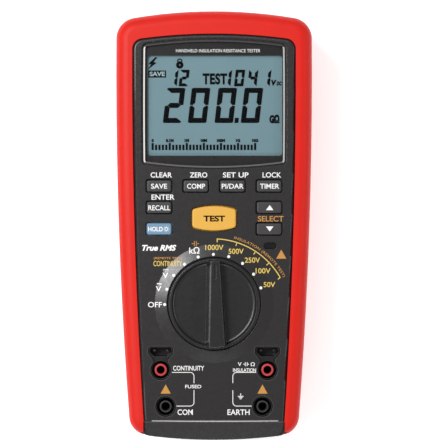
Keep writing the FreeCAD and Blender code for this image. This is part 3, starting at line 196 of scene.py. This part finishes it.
def ink(name, colour, roughness=0.5, **sockets):
    """Screen-printed ink, a little uneven in cover."""
    finish = Finish(name)
    cover = finish.noise(0.6, detail=3.0)
    dark, light = tones(colour, 0.07)
    shade = finish.spread(cover, 0.0, 1.0)
    finish.link(finish.blend(shade, dark, light), finish.shader.inputs["Base Color"])
    gloss = finish.spread(cover, roughness - 0.06, roughness + 0.06)
    finish.link(gloss, finish.shader.inputs["Roughness"])
    finish.link(finish.relief(cover, 0.006), finish.shader.inputs["Normal"])
    finish.set(**sockets)
    return finish.material


def clear(name, tint, roughness, straight=0.012):
    """Clear plastic with a hard coat: passes what is behind it and mirrors more at a slant.

    straight is the share that each of its surfaces mirrors when looked at squarely."""
    finish = Finish(name)
    wipe = finish.noise(6.0, detail=3.0, stretch=(0.3, 1.0, 1.0))
    gloss = finish.spread(wipe, roughness, roughness + 0.04)
    finish.link(gloss, finish.shader.inputs["Roughness"])
    finish.set(Base_Color=WHITE, Metallic=1.0)
    through = finish.node("ShaderNodeBsdfTransparent")
    through.inputs["Color"].default_value = linear(tint)
    slant = finish.node("ShaderNodeLayerWeight")
    slant.inputs["Blend"].default_value = 0.5
    steep = finish.node("ShaderNodeMath", operation="POWER")
    steep.inputs[1].default_value = 5.0
    finish.link(slant.outputs["Facing"], steep.inputs[0])
    mirrored = finish.spread(steep.outputs["Value"], straight, 1.0, 0.0, 1.0)
    mix = finish.node("ShaderNodeMixShader")
    finish.link(mirrored, mix.inputs["Fac"])
    finish.link(through.outputs["BSDF"], mix.inputs[1])
    finish.link(finish.shader.outputs["BSDF"], mix.inputs[2])
    finish.link(mix.outputs["Shader"], finish.tree.nodes["Material Output"].inputs["Surface"])
    return finish.material


def display_panel(name, colour):
    """The reflecting sheet behind the display: even, with a faint cloudy tone."""
    finish = Finish(name)
    cloud = finish.noise(26.0, detail=2.0)
    fibre = finish.noise(0.18, detail=2.0)
    dark, light = tones(colour, 0.05)
    toned = finish.blend(finish.spread(cloud, 0.0, 1.0), dark, light)
    fibrous = finish.blend(finish.spread(fibre, 0.0, 0.3), toned, dark)
    finish.link(fibrous, finish.shader.inputs["Base Color"])
    finish.link(finish.spread(fibre, 0.55, 0.68), finish.shader.inputs["Roughness"])
    return finish.material


# slot: colour, roughness, and what differs from the usual grain
MOULDED = {
    "holster_rubber": (
        (216, 33, 22),
        0.46,
        {"grain": 0.5, "depth": 0.02, "mottle": 0.05, "edge": 0.5, "Specular_IOR_Level": 0.22},
    ),
    "case_plastic": (
        (43, 41, 42),
        0.27,
        {"grain": 0.45, "depth": 0.0035, "mottle": 0.045, "edge": 0.35},
    ),
    "dial_plastic": (
        (34, 33, 34),
        0.29,
        {"grain": 0.3, "depth": 0.003, "mottle": 0.05, "edge": 0.5},
    ),
    "key_rubber": (
        (56, 54, 55),
        0.42,
        {"grain": 0.3, "depth": 0.006, "mottle": 0.07, "edge": 0.8},
    ),
    "yellow_rubber": (
        (225, 171, 68),
        0.42,
        {"grain": 0.3, "depth": 0.006, "mottle": 0.04, "edge": 0.5},
    ),
    "blue_rubber": (
        (110, 144, 172),
        0.42,
        {"grain": 0.3, "depth": 0.006, "mottle": 0.04, "edge": 0.5},
    ),
    "grey_rubber": ((34, 33, 34), 0.55, {"grain": 0.3}),
    "black_rubber": ((22, 22, 23), 0.6, {"grain": 0.3}),
    "jack_black": ((17, 16, 17), 0.36, {"grain": 0.3, "depth": 0.006, "edge": 0.3}),
    "jack_red": ((194, 60, 66), 0.32, {"grain": 0.3, "depth": 0.006, "edge": 0.3}),
    "mask_film": (
        (38, 35, 36),
        0.42,
        {"grain": 0.25, "depth": 0.003, "edge": 0.0, "Specular_IOR_Level": 0.2},
    ),
    "window_plastic": ((14, 14, 15), 0.2, {"grain": 0.6, "depth": 0.002, "edge": 0.4}),
    "white_plastic": ((206, 204, 198), 0.45, {}),
    "light_guide": ((222, 226, 222), 0.2, {"depth": 0.004}),
    "circuit_board": (
        (26, 92, 52),
        0.32,
        {"grain": 0.8, "depth": 0.01, "mottle": 0.14, "edge": 0.1},
    ),
    "chip_black": ((28, 28, 29), 0.5, {"grain": 0.15}),
    "ferrite": ((52, 52, 54), 0.6, {"grain": 0.2, "depth": 0.02}),
    "capacitor_can": ((24, 30, 62), 0.3, {"grain": 0.4}),
    "fuse_body": ((214, 206, 188), 0.35, {"grain": 0.25}),
    "cell_wrap": ((66, 72, 78), 0.28, {"grain": 0.5, "edge": 0.3}),
}

FINISHES = {}
for name, (colour, gloss, extra) in MOULDED.items():
    FINISHES[name] = moulded(name, colour, gloss, **extra)
FINISHES["steel"] = metal("steel", (172, 172, 170), 0.30)
# brass is given a very dark colour: painted shade, so the contacts deep in the jack bores look dark
FINISHES["brass"] = metal("brass", (42, 37, 28), 0.42)
FINISHES["nickel"] = metal("nickel", (196, 192, 184), 0.24)
FINISHES["copper"] = metal("copper", (190, 112, 74), 0.34, stretch=(1.0, 6.0, 1.0))
FINISHES["lens_clear"] = clear("lens_clear", (250, 251, 251), 0.03)
FINISHES["lcd_panel"] = display_panel("lcd_panel", (113, 143, 152))
PIN_METAL_PAINTED_SHADE = metal("pin_metal_painted_shade", (78, 76, 72), 0.4)

INKS = {
    "white": ink("ink_white", (244, 244, 242)),
    "yellow": ink("ink_yellow", (228, 196, 92)),
    "orange": ink("ink_orange", (196, 138, 62)),
    "brown": ink("ink_brown", (28, 18, 12), Specular_IOR_Level=0.1),
    "segment": ink("ink_segment", (4, 5, 8), roughness=0.6, Specular_IOR_Level=0.0),
    # painted highlight for the edges of the jack openings and the lower jacks' sleeve rims
    "painted_edge_highlight": ink("painted_edge_highlight", (70, 68, 69), roughness=0.35),
    # painted highlights for the dial grip's edge and the crease under the jacks
    "glint": ink("glint", (170, 168, 170), roughness=0.3),
    "crease_highlight": ink("crease_highlight", (204, 202, 204), roughness=0.35),
    "panel": display_panel("ink_panel", (158, 180, 186)),
    # painted highlights for the bevel round the lens: bright, middling and dim
    "rim_bright": ink("rim_bright", (232, 230, 228), roughness=0.3),
    "rim_middle": ink("rim_middle", (116, 114, 116), roughness=0.3),
    "rim_grey": ink("rim_grey", (84, 82, 84), roughness=0.3),
}

# the pins deep in the keyed sockets share the nickel slot, but are darker than the rest of it:
# painted shade, for the dark they sit in
for name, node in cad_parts.items():
    for slot in node.material_slots:
        finish_name = slot.material.name.split(".")[0]
        slot.material = PIN_METAL_PAINTED_SHADE if name == "remote_contacts" else FINISHES[finish_name]

# ---------------------------------------------------------------- flat shapes, in millimetres


def area(points, face):
    """Area of a face, negative where it runs clockwise."""
    total = 0.0
    for here, there in zip(face, face[1:] + face[:1]):
        total += points[here][0] * points[there][1] - points[there][0] * points[here][1]
    return total / 2


def band_faces(count):
    """Faces of a closed band whose points alternate between its two edges."""
    return [(i, (i + 2) % count, (i + 3) % count, i + 1) for i in range(0, count, 2)]


class Shapes:
    """Flat outlines in the plane of the face: points in millimetres, and faces that use them."""

    def __init__(self):
        self.points = []
        self.faces = []

    def add(self, points, faces):
        """Adds points, and faces that use them, each made to run anticlockwise."""
        first = len(self.points)
        self.points += points
        for face in faces:
            face = list(face)
            if area(points, face) < 0:
                face.reverse()
            self.faces.append([first + index for index in face])

    def outline(self, points):
        """One face, round its edge."""
        self.add(points, [range(len(points))])

    def box(self, left, right, bottom, top, slant=0.0):
        """Upright box, or one that leans to the right by slant times its height."""
        lean = (top - bottom) * slant
        self.outline([(left, bottom), (right, bottom), (right + lean, top), (left + lean, top)])

    def disc(self, x, y, radius, steps=28):
        """Filled circle."""
        turns = [2 * math.pi * i / steps for i in range(steps)]
        self.outline([(x + radius * math.cos(turn), y + radius * math.sin(turn)) for turn in turns])

    def ring(self, x, y, outer, inner, steps=36):
        """Band between two circles."""
        turn = 2 * math.pi / steps
        points = []
        for i in range(steps):
            way = (math.cos(turn * i), math.sin(turn * i))
            points.append((x + outer * way[0], y + outer * way[1]))
            points.append((x + inner * way[0], y + inner * way[1]))
        self.add(points, band_faces(len(points)))

    def stroke(self, line, width):
        """A line of constant width through the points, mitred at all but the sharpest bends."""
        sharpest = 0.4
        line = [Vector(point) for point in line]
        sides = []
        for index, point in enumerate(line):
            before = (point - line[index - 1]).normalized() if index else None
            after = (line[index + 1] - point).normalized() if index < len(line) - 1 else None
            leaving = after or before
            way = ((before or after) + leaving).normalized()
            across = Vector((-way.y, way.x))
            leaving_across = Vector((-leaving.y, leaving.x))
            reach = width / 2 / max(sharpest, across.dot(leaving_across))
            sides += [tuple(point + across * reach), tuple(point - across * reach)]
        self.add(sides, [(i, i + 1, i + 3, i + 2) for i in range(0, len(sides) - 2, 2)])

    def text(
        self, words, x, y, height, width=None, weight=0.012, slant=0.0, spacing=1.0, bend=None
    ):
        """Lettering fitted to a box of that height and width about (x, y), or bent along an arc.

        bend is the arc's centre x and y, its radius, and the angle of the lettering's middle, in
        degrees clockwise from +Y."""
        curve = bpy.data.curves.new("lettering", "FONT")
        curve.body = words
        curve.offset = weight
        curve.shear = slant
        curve.space_character = spacing
        curve.resolution_u = 5
        holder = bpy.data.objects.new("lettering", curve)
        SCENE.collection.objects.link(holder)
        mesh = bpy.data.meshes.new_from_object(holder)
        points = [(v.co.x, v.co.y) for v in mesh.vertices]
        faces = [tuple(p.vertices) for p in mesh.polygons]
        bpy.data.meshes.remove(mesh)
        bpy.data.objects.remove(holder)
        bpy.data.curves.remove(curve)
        low = (min(p[0] for p in points), min(p[1] for p in points))
        high = (max(p[0] for p in points), max(p[1] for p in points))
        tall = height / (high[1] - low[1])
        wide = width / (high[0] - low[0]) if width else tall
        middle = ((low[0] + high[0]) / 2, (low[1] + high[1]) / 2)
        fitted = [((p[0] - middle[0]) * wide, (p[1] - middle[1]) * tall) for p in points]
        if bend:
            fitted = [bent(point, bend) for point in fitted]
        else:
            fitted = [(px + x, py + y) for px, py in fitted]
        self.add(fitted, faces)


def bent(point, bend):
    """Point of a straight line of lettering, moved onto its arc."""
    centre_x, centre_y, radius, middle = bend
    turn = math.radians(middle) + point[0] / radius
    reach = radius + point[1]
    return centre_x + reach * math.sin(turn), centre_y + reach * math.cos(turn)


def arc(x, y, radius, start, end, steps=48):
    """Points of an arc; the angles are in degrees clockwise from +Y."""
    out = []
    for i in range(steps + 1):
        turn = math.radians(start + (end - start) * i / steps)
        out.append((x + radius * math.sin(turn), y + radius * math.cos(turn)))
    return out


# ---------------------------------------------------------------- printing on the part


def surface(*names):
    """Height of the highest of these nodes under a point, in metres."""
    far_above = 1.0
    trees = []
    for name in names:
        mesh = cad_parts[name].data
        corners = [vertex.co.copy() for vertex in mesh.vertices]
        trees.append(BVHTree.FromPolygons(corners, [tuple(p.vertices) for p in mesh.polygons]))

    def height(x, y):
        start = Vector((x, y, far_above))
        hits = [tree.ray_cast(start, Vector((0, 0, -1)))[0] for tree in trees]
        return max(hit.z for hit in hits if hit is not None)

    return height


def new_piece(name, corners, faces, materials):
    """Mesh object in the scene, with those materials in that order."""
    mesh = bpy.data.meshes.new(name)
    mesh.from_pydata(corners, [], faces)
    for material in materials:
        mesh.materials.append(material)
    piece = bpy.data.objects.new(name, mesh)
    SCENE.collection.objects.link(piece)
    return piece


def add_film(piece, film):
    """Gives a flat piece that thickness, in millimetres, upwards."""
    thick = piece.modifiers.new("film", "SOLIDIFY")
    thick.thickness = film * MM
    thick.offset = 1.0


def printed(name, shapes, body, colour, height, lift=0.015, film=0.02):
    """Lays flat shapes on a surface as a thin film and lets them ride on a body.

    height is one height or a function of x and y, in metres; lift and film are in millimetres."""
    corners = []
    for x, y in shapes.points:
        z = height(x * MM, y * MM) if callable(height) else height
        corners.append((x * MM, y * MM, z + lift * MM))
    piece = new_piece(name, corners, shapes.faces, [INKS[colour]])
    add_film(piece, film)
    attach(piece, body)


# ---------------------------------------------------------------- display content

DISPLAY_LEAN = 0.118
# the bars that each digit shows: a is the top one, b to f follow clockwise, g is the middle one
SEGMENTS = {"0": "abcdef", "1": "bc", "2": "abged", "4": "fgbc"}


def seven_segment(shapes, digit, left, bottom, width, height, thick, gap):
    """One slanted digit; left and bottom are its foot's corner, before it leans.

    thick is its bars' width, and gap is the half of the space between them."""
    half = thick / 2
    low, mid, high = half, height / 2, height - half
    near, far = half, width - half

    def middle_bar(y):
        start, end = near + gap, far - gap
        return [
            (start, y),
            (start + half, y - half),
            (end - half, y - half),
            (end, y),
            (end - half, y + half),
            (start + half, y + half),
        ]

    def end_bar(y, way):
        """Bar at the head or foot, longer on its outer side; way points out of the digit."""
        start, end = gap, width - gap
        outer, inner, bend = y + way * half, y - way * half, y + way * half * 0.5
        return [
            (start + half * 0.5, outer),
            (end - half * 0.5, outer),
            (end, bend),
            (end - thick, inner),
            (start + thick, inner),
            (start, bend),
        ]

    def side_bar(x, way, foot, head, corner_below):
        """Upright bar: one end runs to the digit's corner, the other is pointed; way points out."""
        outer, inner = x + way * half, x - way * half
        if corner_below:
            return [
                (outer, foot - half + gap),
                (outer, head - gap - half * 0.2),
                (x, head - gap),
                (inner, head - gap - half),
                (inner, foot + half + gap),
            ]
        return [
            (outer, head + half - gap),
            (outer, foot + gap + half * 0.2),
            (x, foot + gap),
            (inner, foot + gap + half),
            (inner, head - half - gap),
        ]

    bars = {
        "a": end_bar(high, 1),
        "b": side_bar(far, 1, mid, high, False),
        "c": side_bar(far, 1, low, mid, True),
        "d": end_bar(low, -1),
        "e": side_bar(near, -1, low, mid, True),
        "f": side_bar(near, -1, mid, high, False),
        "g": middle_bar(mid),
    }
    for letter in SEGMENTS[digit]:
        shapes.outline([(left + x + y * DISPLAY_LEAN, bottom + y) for x, y in bars[letter]])


def display_content():
    """Two readings, their units, the bar graph with its scale, and the signs at the upper left."""
    shapes = Shapes()
    big_foot, big_size = 53.6, (9.7, 18.4, 2.65, 0.08)
    for digit, left in (("2", -26.9), ("0", -13.8), ("0", 0.2), ("0", 13.9)):
        seven_segment(shapes, digit, left, big_foot, *big_size)
    shapes.box(10.6, 12.7, big_foot, big_foot + 2.7, DISPLAY_LEAN)

    small_foot, small_shape = 72.8, (8.7, 1.55, 0.06)
    for digit, left, width in (
        ("1", -23.8, 4.2),
        ("2", -18.6, 4.8),
        ("1", 4.3, 4.2),
        ("0", 10.4, 4.9),
        ("4", 17.4, 4.8),
        ("1", 24.9, 4.2),
    ):
        seven_segment(shapes, digit, left, small_foot, width, *small_shape)

    shapes.text("TEST", 0.4, 76.7, 5.9, 12.9, weight=0.045, spacing=1.08)
    shapes.text("V", 31.3, 74.7, 3.0, 2.9, weight=0.07, slant=0.15)
    shapes.text("DC", 34.1, 74.3, 2.2, 2.7, weight=0.07, slant=0.15)
    shapes.text("GΩ", 31.6, 55.7, 4.6, 5.3, weight=0.075)

    bolt_x, bolt_y = -34.4, 82.1
    bolt = [(3.6, 5.9), (0.0, 2.6), (1.4, 2.1), (-0.5, -0.6), (4.2, 3.0), (2.7, 3.5), (4.7, 5.9)]
    shapes.outline([(bolt_x + x, bolt_y + y) for x, y in bolt])

    lock_x, lock_y = -18.0, 84.0
    shapes.ring(lock_x, lock_y, 1.95, 0.36)
    shapes.stroke(arc(lock_x, lock_y + 2.0, 1.1, -105, 105, 16), 0.62)

    label_box = (-34.5, -25.2, 77.4, 81.1)
    shapes.box(*label_box)

    first, step, foot, tick_half = -32.2, 1.79, 39.4, 0.56
    scale = ("0", "0.1M", "1M", "10M", "100M", "1G", "10G")
    ticks_per_label = 5
    for tick in range((len(scale) - 1) * ticks_per_label + 1):
        x = first + tick * step
        top = 43.1 if tick % ticks_per_label == 0 else 42.2
        shapes.box(x - tick_half, x + tick_half, foot, top)
    for index, words in enumerate(scale):
        shapes.text(words, first + index * ticks_per_label * step, 44.4, 1.7, weight=0.075)
    return shapes


glass_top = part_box("lcd_glass")[1].z
content = display_content()
printed("display_segments", content, "case", "segment", glass_top, lift=0.12)

saved_label = Shapes()
saved_label.text("SAVE", -29.8, 79.3, 2.4, 8.0, weight=0.035)
printed("display_saved_label", saved_label, "case", "panel", glass_top, lift=0.16)


def lens_loop(height):
    """Corners of the lens at one height, in order round its middle, in metres."""
    slack = 0.02 * MM
    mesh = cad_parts["display_lens"].data
    middle = sum(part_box("display_lens"), Vector()) / 2
    level = [vertex.co for vertex in mesh.vertices if abs(vertex.co.z - height) < slack]
    spots = {(round(place.x, 6), round(place.y, 6)) for place in level}
    return sorted(spots, key=lambda spot: math.atan2(spot[1] - middle.y, spot[0] - middle.x))


def lens_rim():
    """Painted highlights on the bevel round the lens, as a thin film: bright along its long sides,
    middling at the bottom end, dim at the top.
    """
    tones_used = ("rim_bright", "rim_middle", "rim_grey")
    side_start, side_end, side_width = 33 * MM, 93.2 * MM, 1.6 * MM
    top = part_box("display_lens")[1].z
    bevel, proud = 0.8 * MM, 0.02 * MM
    corners = []
    for outer, inner in zip(lens_loop(top - bevel), lens_loop(top)):
        corners += [(*outer, top - bevel + proud), (*inner, top + proud)]
    faces = band_faces(len(corners))
    piece = new_piece("lens_rim", corners, faces, [INKS[tone] for tone in tones_used])
    side = max(corner[0] for corner in corners) - side_width
    for face in piece.data.polygons:
        if face.center.y < side_start:
            tone = "rim_middle"
        elif abs(face.center.x) > side and face.center.y < side_end:
            tone = "rim_bright"
        else:
            tone = "rim_grey"
        face.material_index = tones_used.index(tone)
    add_film(piece, 0.03)
    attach(piece, "case")


lens_rim()

# ---------------------------------------------------------------- legends

face = surface("front_case", "holster", "terminal_block", "display_lens")
DIAL_X, DIAL_Y = 0.0, -41.0
THIN = 0.35

# each legend: words, x and y of its middle, height, width
white = Shapes()
for words, x, y, height, width in (
    ("CLEAR", -27.6, 26.3, 2.7, 11.1),
    ("ZERO", -8.1, 26.3, 2.7, 9.1),
    ("SET UP", 11.3, 26.3, 2.7, 13.4),
    ("LOCK", 30.2, 26.3, 2.7, 9.7),
    ("ENTER", -26.7, 14.7, 2.7, 12.0),
    ("OFF", -30.9, -41.5, 2.8, 7.3),
    ("kΩ", -10.3, -13.1, 3.4, 5.4),
    ("V", -25.4, -26.2, 2.8, 3.0),
    ("V", -29.0, -33.2, 2.8, 3.0),
    ("~", -28.6, -30.6, 0.9, 2.6),
    ("CONTINUITY", -13.3, -74.7, 2.5, 16.2),
    ("INSULATION", 15.9, -75.7, 1.9, 12.0),
    ("COM", -15.1, -97.7, 2.9, 8.0),
    ("EARTH", 12.8, -97.7, 2.9, 11.6),
    ("FUSED", -10.9, -84.3, 1.8, 8.4),
    ("V", 13.4, -72.6, 2.0, 2.0),
    ("Ω", 20.2, -72.6, 2.0, 2.2),
):
    white.text(words, x, y, height, width)
white.text("HANDHELD INSULATION RESISTANCE TESTER", 2.1, 91.2, 1.65, 44.0, weight=-0.004)
white.text("True RMS", -28.7, -11.8, 3.1, 17.9, weight=0.04, slant=0.28)

# sign of direct voltage: a line over three dashes
white.box(-26.6, -23.8, -23.2, -22.9)
for left in (-26.6, -25.5, -24.4):
    white.box(left, left + 0.6, -24.0, -23.7)

# a dot for each of the dial's stops, all a little behind their stop
dot_ring, dot_radius, dot_lag = 25.8, 0.78, 0.8
for stop in range(-90, 73, 18):
    turn = math.radians(stop - dot_lag)
    x, y = DIAL_X + dot_ring * math.sin(turn), DIAL_Y + dot_ring * math.cos(turn)
    white.disc(x, y, dot_radius)


def capacitor_sign(shapes, x, y, height, reach):
    """Two plates facing each other, with a lead on each side."""
    half_gap = 0.5
    for way in (-1, 1):
        plate = x + way * half_gap
        shapes.stroke([(x + way * reach, y), (plate, y)], THIN)
        shapes.stroke([(plate, y - height / 2), (plate, y + height / 2)], THIN)


def earth_sign(shapes, x, y, width, height):
    """A stem over three bars that grow shorter."""
    shapes.stroke([(x, y + height / 2), (x, y)], THIN)
    for index in range(3):
        half = width / 2 * (1 - index * 0.33)
        level = y - index * height / 5
        shapes.stroke([(x - half, level), (x + half, level)], THIN)


def bracket(shapes, way, starts, spine):
    """Thin line that ties an upper jack to a lower one, open in the middle of its spine.

    way is the side of the jacks that the spine is on, and starts are the x of its two ends."""
    corner, steps = 2.0, 8
    upper, lower = (-76.9, -82.5, 1), (-94.5, -86.2, -1)
    for start, (level, gap_edge, down) in zip(starts, (upper, lower)):
        bend = []
        for i in range(steps + 1):
            angle = math.pi / 2 * i / steps
            x = spine - way * corner * (1 - math.sin(angle))
            bend.append((x, level - down * corner * (1 - math.cos(angle))))
        shapes.stroke([(start, level), *bend, (spine, gap_edge)], THIN)


capacitor_sign(white, 16.8, -72.6, 2.0, 1.5)
earth_sign(white, 13.9, -89.4, 3.0, 3.2)
bracket(white, 1, (-22.0, -19.9), -10.5)
bracket(white, -1, (22.0, 19.9), 9.8)
printed("legends_white", white, "case", "white", face)

yellow = Shapes()
for words, x, y, height, width in (
    ("1000V", 0.15, -11.6, 2.75, 9.5),
    ("500V", 11.5, -13.6, 2.75, 7.9),
    ("250V", 20.0, -18.2, 2.75, 8.0),
    ("100V", 25.6, -23.8, 2.75, 7.8),
    ("50V", 28.9, -31.0, 2.7, 6.1),
    ("CONTINUITY", -24.2, -20.0, 2.8, 15.0),
):
    yellow.text(words, x, y, height, width)

# arc over the insulation ranges; each pair, from the dial's middle, says which way a tick lies
ARC_MIDDLE, ARC_RADIUS = (-0.3, -47.3), 40.2
yellow.stroke([(1.6, -8.9), *arc(*ARC_MIDDLE, ARC_RADIUS, 2.8, 60.0), (33.4, -28.3)], 0.5)
for x, y in ((11.9, 31.8), (21.8, 27.5), (28.9, 21.5)):
    middle = Vector(ARC_MIDDLE)
    way = (Vector((DIAL_X + x, DIAL_Y + y)) - middle).normalized()
    tick = [tuple(middle + way * reach) for reach in (ARC_RADIUS, ARC_RADIUS - 1.9)]
    yellow.stroke(tick, 0.45)
printed("legends_yellow", yellow, "case", "yellow", face)

orange = Shapes()
orange.text("SELECT", 29.6, 3.4, 2.9, 13.4)
orange.text("(REMOTE TEST)", -24.1, -17.35, 1.5, 14.8)
over_arc = (*ARC_MIDDLE, ARC_RADIUS + 1.9, 38.0)
orange.text(
    "INSULATION (REMOTE TEST)", 0, 0, 1.75, 34.0, weight=0.008, spacing=1.1, bend=over_arc
)
capacitor_sign(orange, -9.8, -9.6, 2.7, 1.9)


def plain_triangle(shapes, x, y, width, height):
    """Triangle that points to the display end, about the middle of its box."""
    foot, half = y - height / 2, width / 2
    shapes.outline([(x - half, foot), (x + half, foot), (x, foot + height)])


plain_triangle(orange, 35.1, -15.1, 5.3, 4.7)
plain_triangle(orange, -25.3, -85.6, 5.3, 4.8)
plain_triangle(orange, 25.3, -85.6, 5.3, 4.8)
printed("legends_orange", orange, "case", "orange", face)

KEY_WORDS = {
    "save_key": ("SAVE", -28.7, 20.4, 2.6, 8.4),
    "compare_key": ("COMP", -9.4, 20.4, 2.6, 9.4),
    "ratio_key": ("PI/DAR", 9.7, 20.4, 2.6, 11.4),
    "timer_key": ("TIMER", 29.0, 20.4, 2.6, 10.0),
    "recall_key": ("RECALL", -28.6, 9.1, 2.6, 11.4),
}
for key, place in KEY_WORDS.items():
    legend = Shapes()
    legend.text(*place)
    printed(f"{key}_legend", legend, key, "white", surface(key))

# the word, and a lit lamp: a ring with short rays
hold = Shapes()
lamp_x, lamp_y, ray_count = -24.9, -2.0, 8
hold.text("HOLD", -30.6, lamp_y, 2.4, 7.6, weight=0.02)
hold.ring(lamp_x, lamp_y, 0.95, 0.6, 24)
for index in range(ray_count):
    turn = 2 * math.pi * index / ray_count
    across, up = math.cos(turn), math.sin(turn)
    ray = [(lamp_x + across * reach, lamp_y + up * reach) for reach in (1.2, 1.6)]
    hold.stroke(ray, 0.28)
printed("hold_key_legend", hold, "hold_key", "white", surface("hold_key"))

for key, y, way in (("up_key", 9.2, 1), ("down_key", -1.9, -1)):
    left, right, rise = 27.1, 31.0, way * 1.3
    pointer = Shapes()
    pointer.outline([(left, y - rise), (right, y - rise), ((left + right) / 2, y + rise)])
    printed(f"{key}_legend", pointer, key, "white", surface(key))

UPPER_JACKS = {"continuity": (-27.9, -75.6), "insulation": (27.9, -75.6)}
LOWER_JACKS = {"common": (-25.3, -94.7), "earth": (25.3, -94.7)}


def socket_outline(x, y, radius):
    """Line round a jack and the keyed socket above it, about the jack's middle."""
    right = [(3.95, 5.2), (6.75, 8.6), (6.75, 11.2), (5.75, 12.4)]
    left = [(-across, up) for across, up in right]
    foot = arc(0.0, 0.0, radius, 45, 315, 60)
    line = [(x + across, y + up) for across, up in [*foot, *left, *reversed(right)]]
    return [*line, line[0]]


# painted highlights: thin light lines round the jack openings, and round the lower jacks' sleeve
# rims
edges = Shapes()
for x, y in UPPER_JACKS.values():
    edges.stroke(socket_outline(x, y, 5.6), 0.26)
for jack, (x, y) in LOWER_JACKS.items():
    edges.ring(x, y, 5.75, 5.5)
    sleeve = f"sleeve_{jack}"
    rim = Shapes()
    rim.ring(x, y, 2.95, 2.65)
    printed(f"{sleeve}_rim", rim, "case", "painted_edge_highlight", surface(sleeve), film=0.03)
printed("jack_edge_highlights", edges, "case", "painted_edge_highlight", face)

# painted highlights: light lines laid on as films where the edge under the jacks and the edge along
# the dial's grip catch light
crease = Shapes()
crease_line = [(-32.5, -102.3), (-15.0, -102.5), (0.5, -102.55), (16.0, -102.5), (33.5, -102.3)]
crease.stroke(crease_line, 0.6)
printed("chin_crease", crease, "case", "crease_highlight", face)

grip_edge = Shapes()
grip_edge.stroke([(-1.85, -21.0), (-2.25, -41.0), (-2.7, -61.0)], 0.42)
printed("dial_grip_edge", grip_edge, "dial", "glint", surface("rotary_dial"))

test_words = Shapes()
test_words.text("TEST", 0.1, 3.5, 3.2, 11.3, weight=0.04)
printed("test_button_legend", test_words, "test_button", "brown", surface("test_button"))

# ---------------------------------------------------------------- studio


def backdrop():
    """White floor that glows, as paper lit from below does, just under the tester."""
    finish = Finish("floor")
    cloud = finish.noise(220.0, detail=2.0)
    paper = finish.blend(cloud, linear((250, 250, 250)), linear((254, 254, 254)))
    finish.link(paper, finish.shader.inputs["Base Color"])
    finish.set(Roughness=0.9, Emission_Color=WHITE, Emission_Strength=0.5)
    half, drop = 12.0, 0.1 * MM
    corners = [(-half, -half, 0), (half, -half, 0), (half, half, 0), (-half, half, 0)]
    floor = new_piece("floor", corners, [(0, 1, 2, 3)], [finish.material])
    floor.location.z = -drop


def softbox(name, azimuth, tilt, distance, size, radiance):
    """Rectangular light of even brightness that faces the tester's middle.

    It's seen from there at that azimuth, in degrees clockwise from +Y, and that tilt from the
    vertical; distance and size are in metres, and radiance in W/(m2 sr)."""
    target = Vector((0.0, 0.0, 0.03))
    turn, lean = math.radians(azimuth), math.radians(tilt)
    way = Vector((math.sin(turn) * math.sin(lean), math.cos(turn) * math.sin(lean), math.cos(lean)))
    light = bpy.data.lights.new(name, "AREA")
    light.shape = "RECTANGLE"
    light.size, light.size_y = size
    light.energy = radiance * math.pi * size[0] * size[1]
    lamp = bpy.data.objects.new(name, light)
    lamp.location = target + way * distance
    lamp.rotation_euler = (-way).to_track_quat("-Z", "Y").to_euler()
    lamp.visible_camera = False
    SCENE.collection.objects.link(lamp)


def sky():
    """Even dim surroundings."""
    world = bpy.data.worlds.new("studio")
    SCENE.world = world
    world.use_nodes = True
    background = world.node_tree.nodes["Background"]
    background.inputs["Color"].default_value = WHITE
    background.inputs["Strength"].default_value = 0.28


backdrop()
sky()
softbox("key", -58, 29, 1.0, (0.50, 0.15), 26.5)
softbox("left", -100, 46, 1.2, (0.80, 0.26), 3.4)
softbox("right", 90, 55, 1.2, (0.80, 0.24), 3.0)
softbox("jack_end", 180, 46, 1.2, (0.60, 0.24), 6.0)
softbox("display_end", 0, 36, 1.2, (0.36, 0.18), 5.5)

# the camera keeps its own way of looking, straight down at the face
FACE_HEIGHT = 0.0506
CAMERA_ABOVE_FACE = 1.1
VIEW_MIDDLE_X, VIEW_MIDDLE_Y = 0.0031, 0.00275
camera_data = bpy.data.cameras.new("camera")
camera_data.lens = 172.2
camera_data.sensor_width = 36.0
camera_data.clip_start = 0.01
camera_data.clip_end = 50.0
camera = bpy.data.objects.new("camera", camera_data)
camera.location = (VIEW_MIDDLE_X, VIEW_MIDDLE_Y, FACE_HEIGHT + CAMERA_ABOVE_FACE)
SCENE.collection.objects.link(camera)
SCENE.camera = camera
SCENE.view_settings.view_transform = "Standard"
SCENE.view_settings.look = "None"
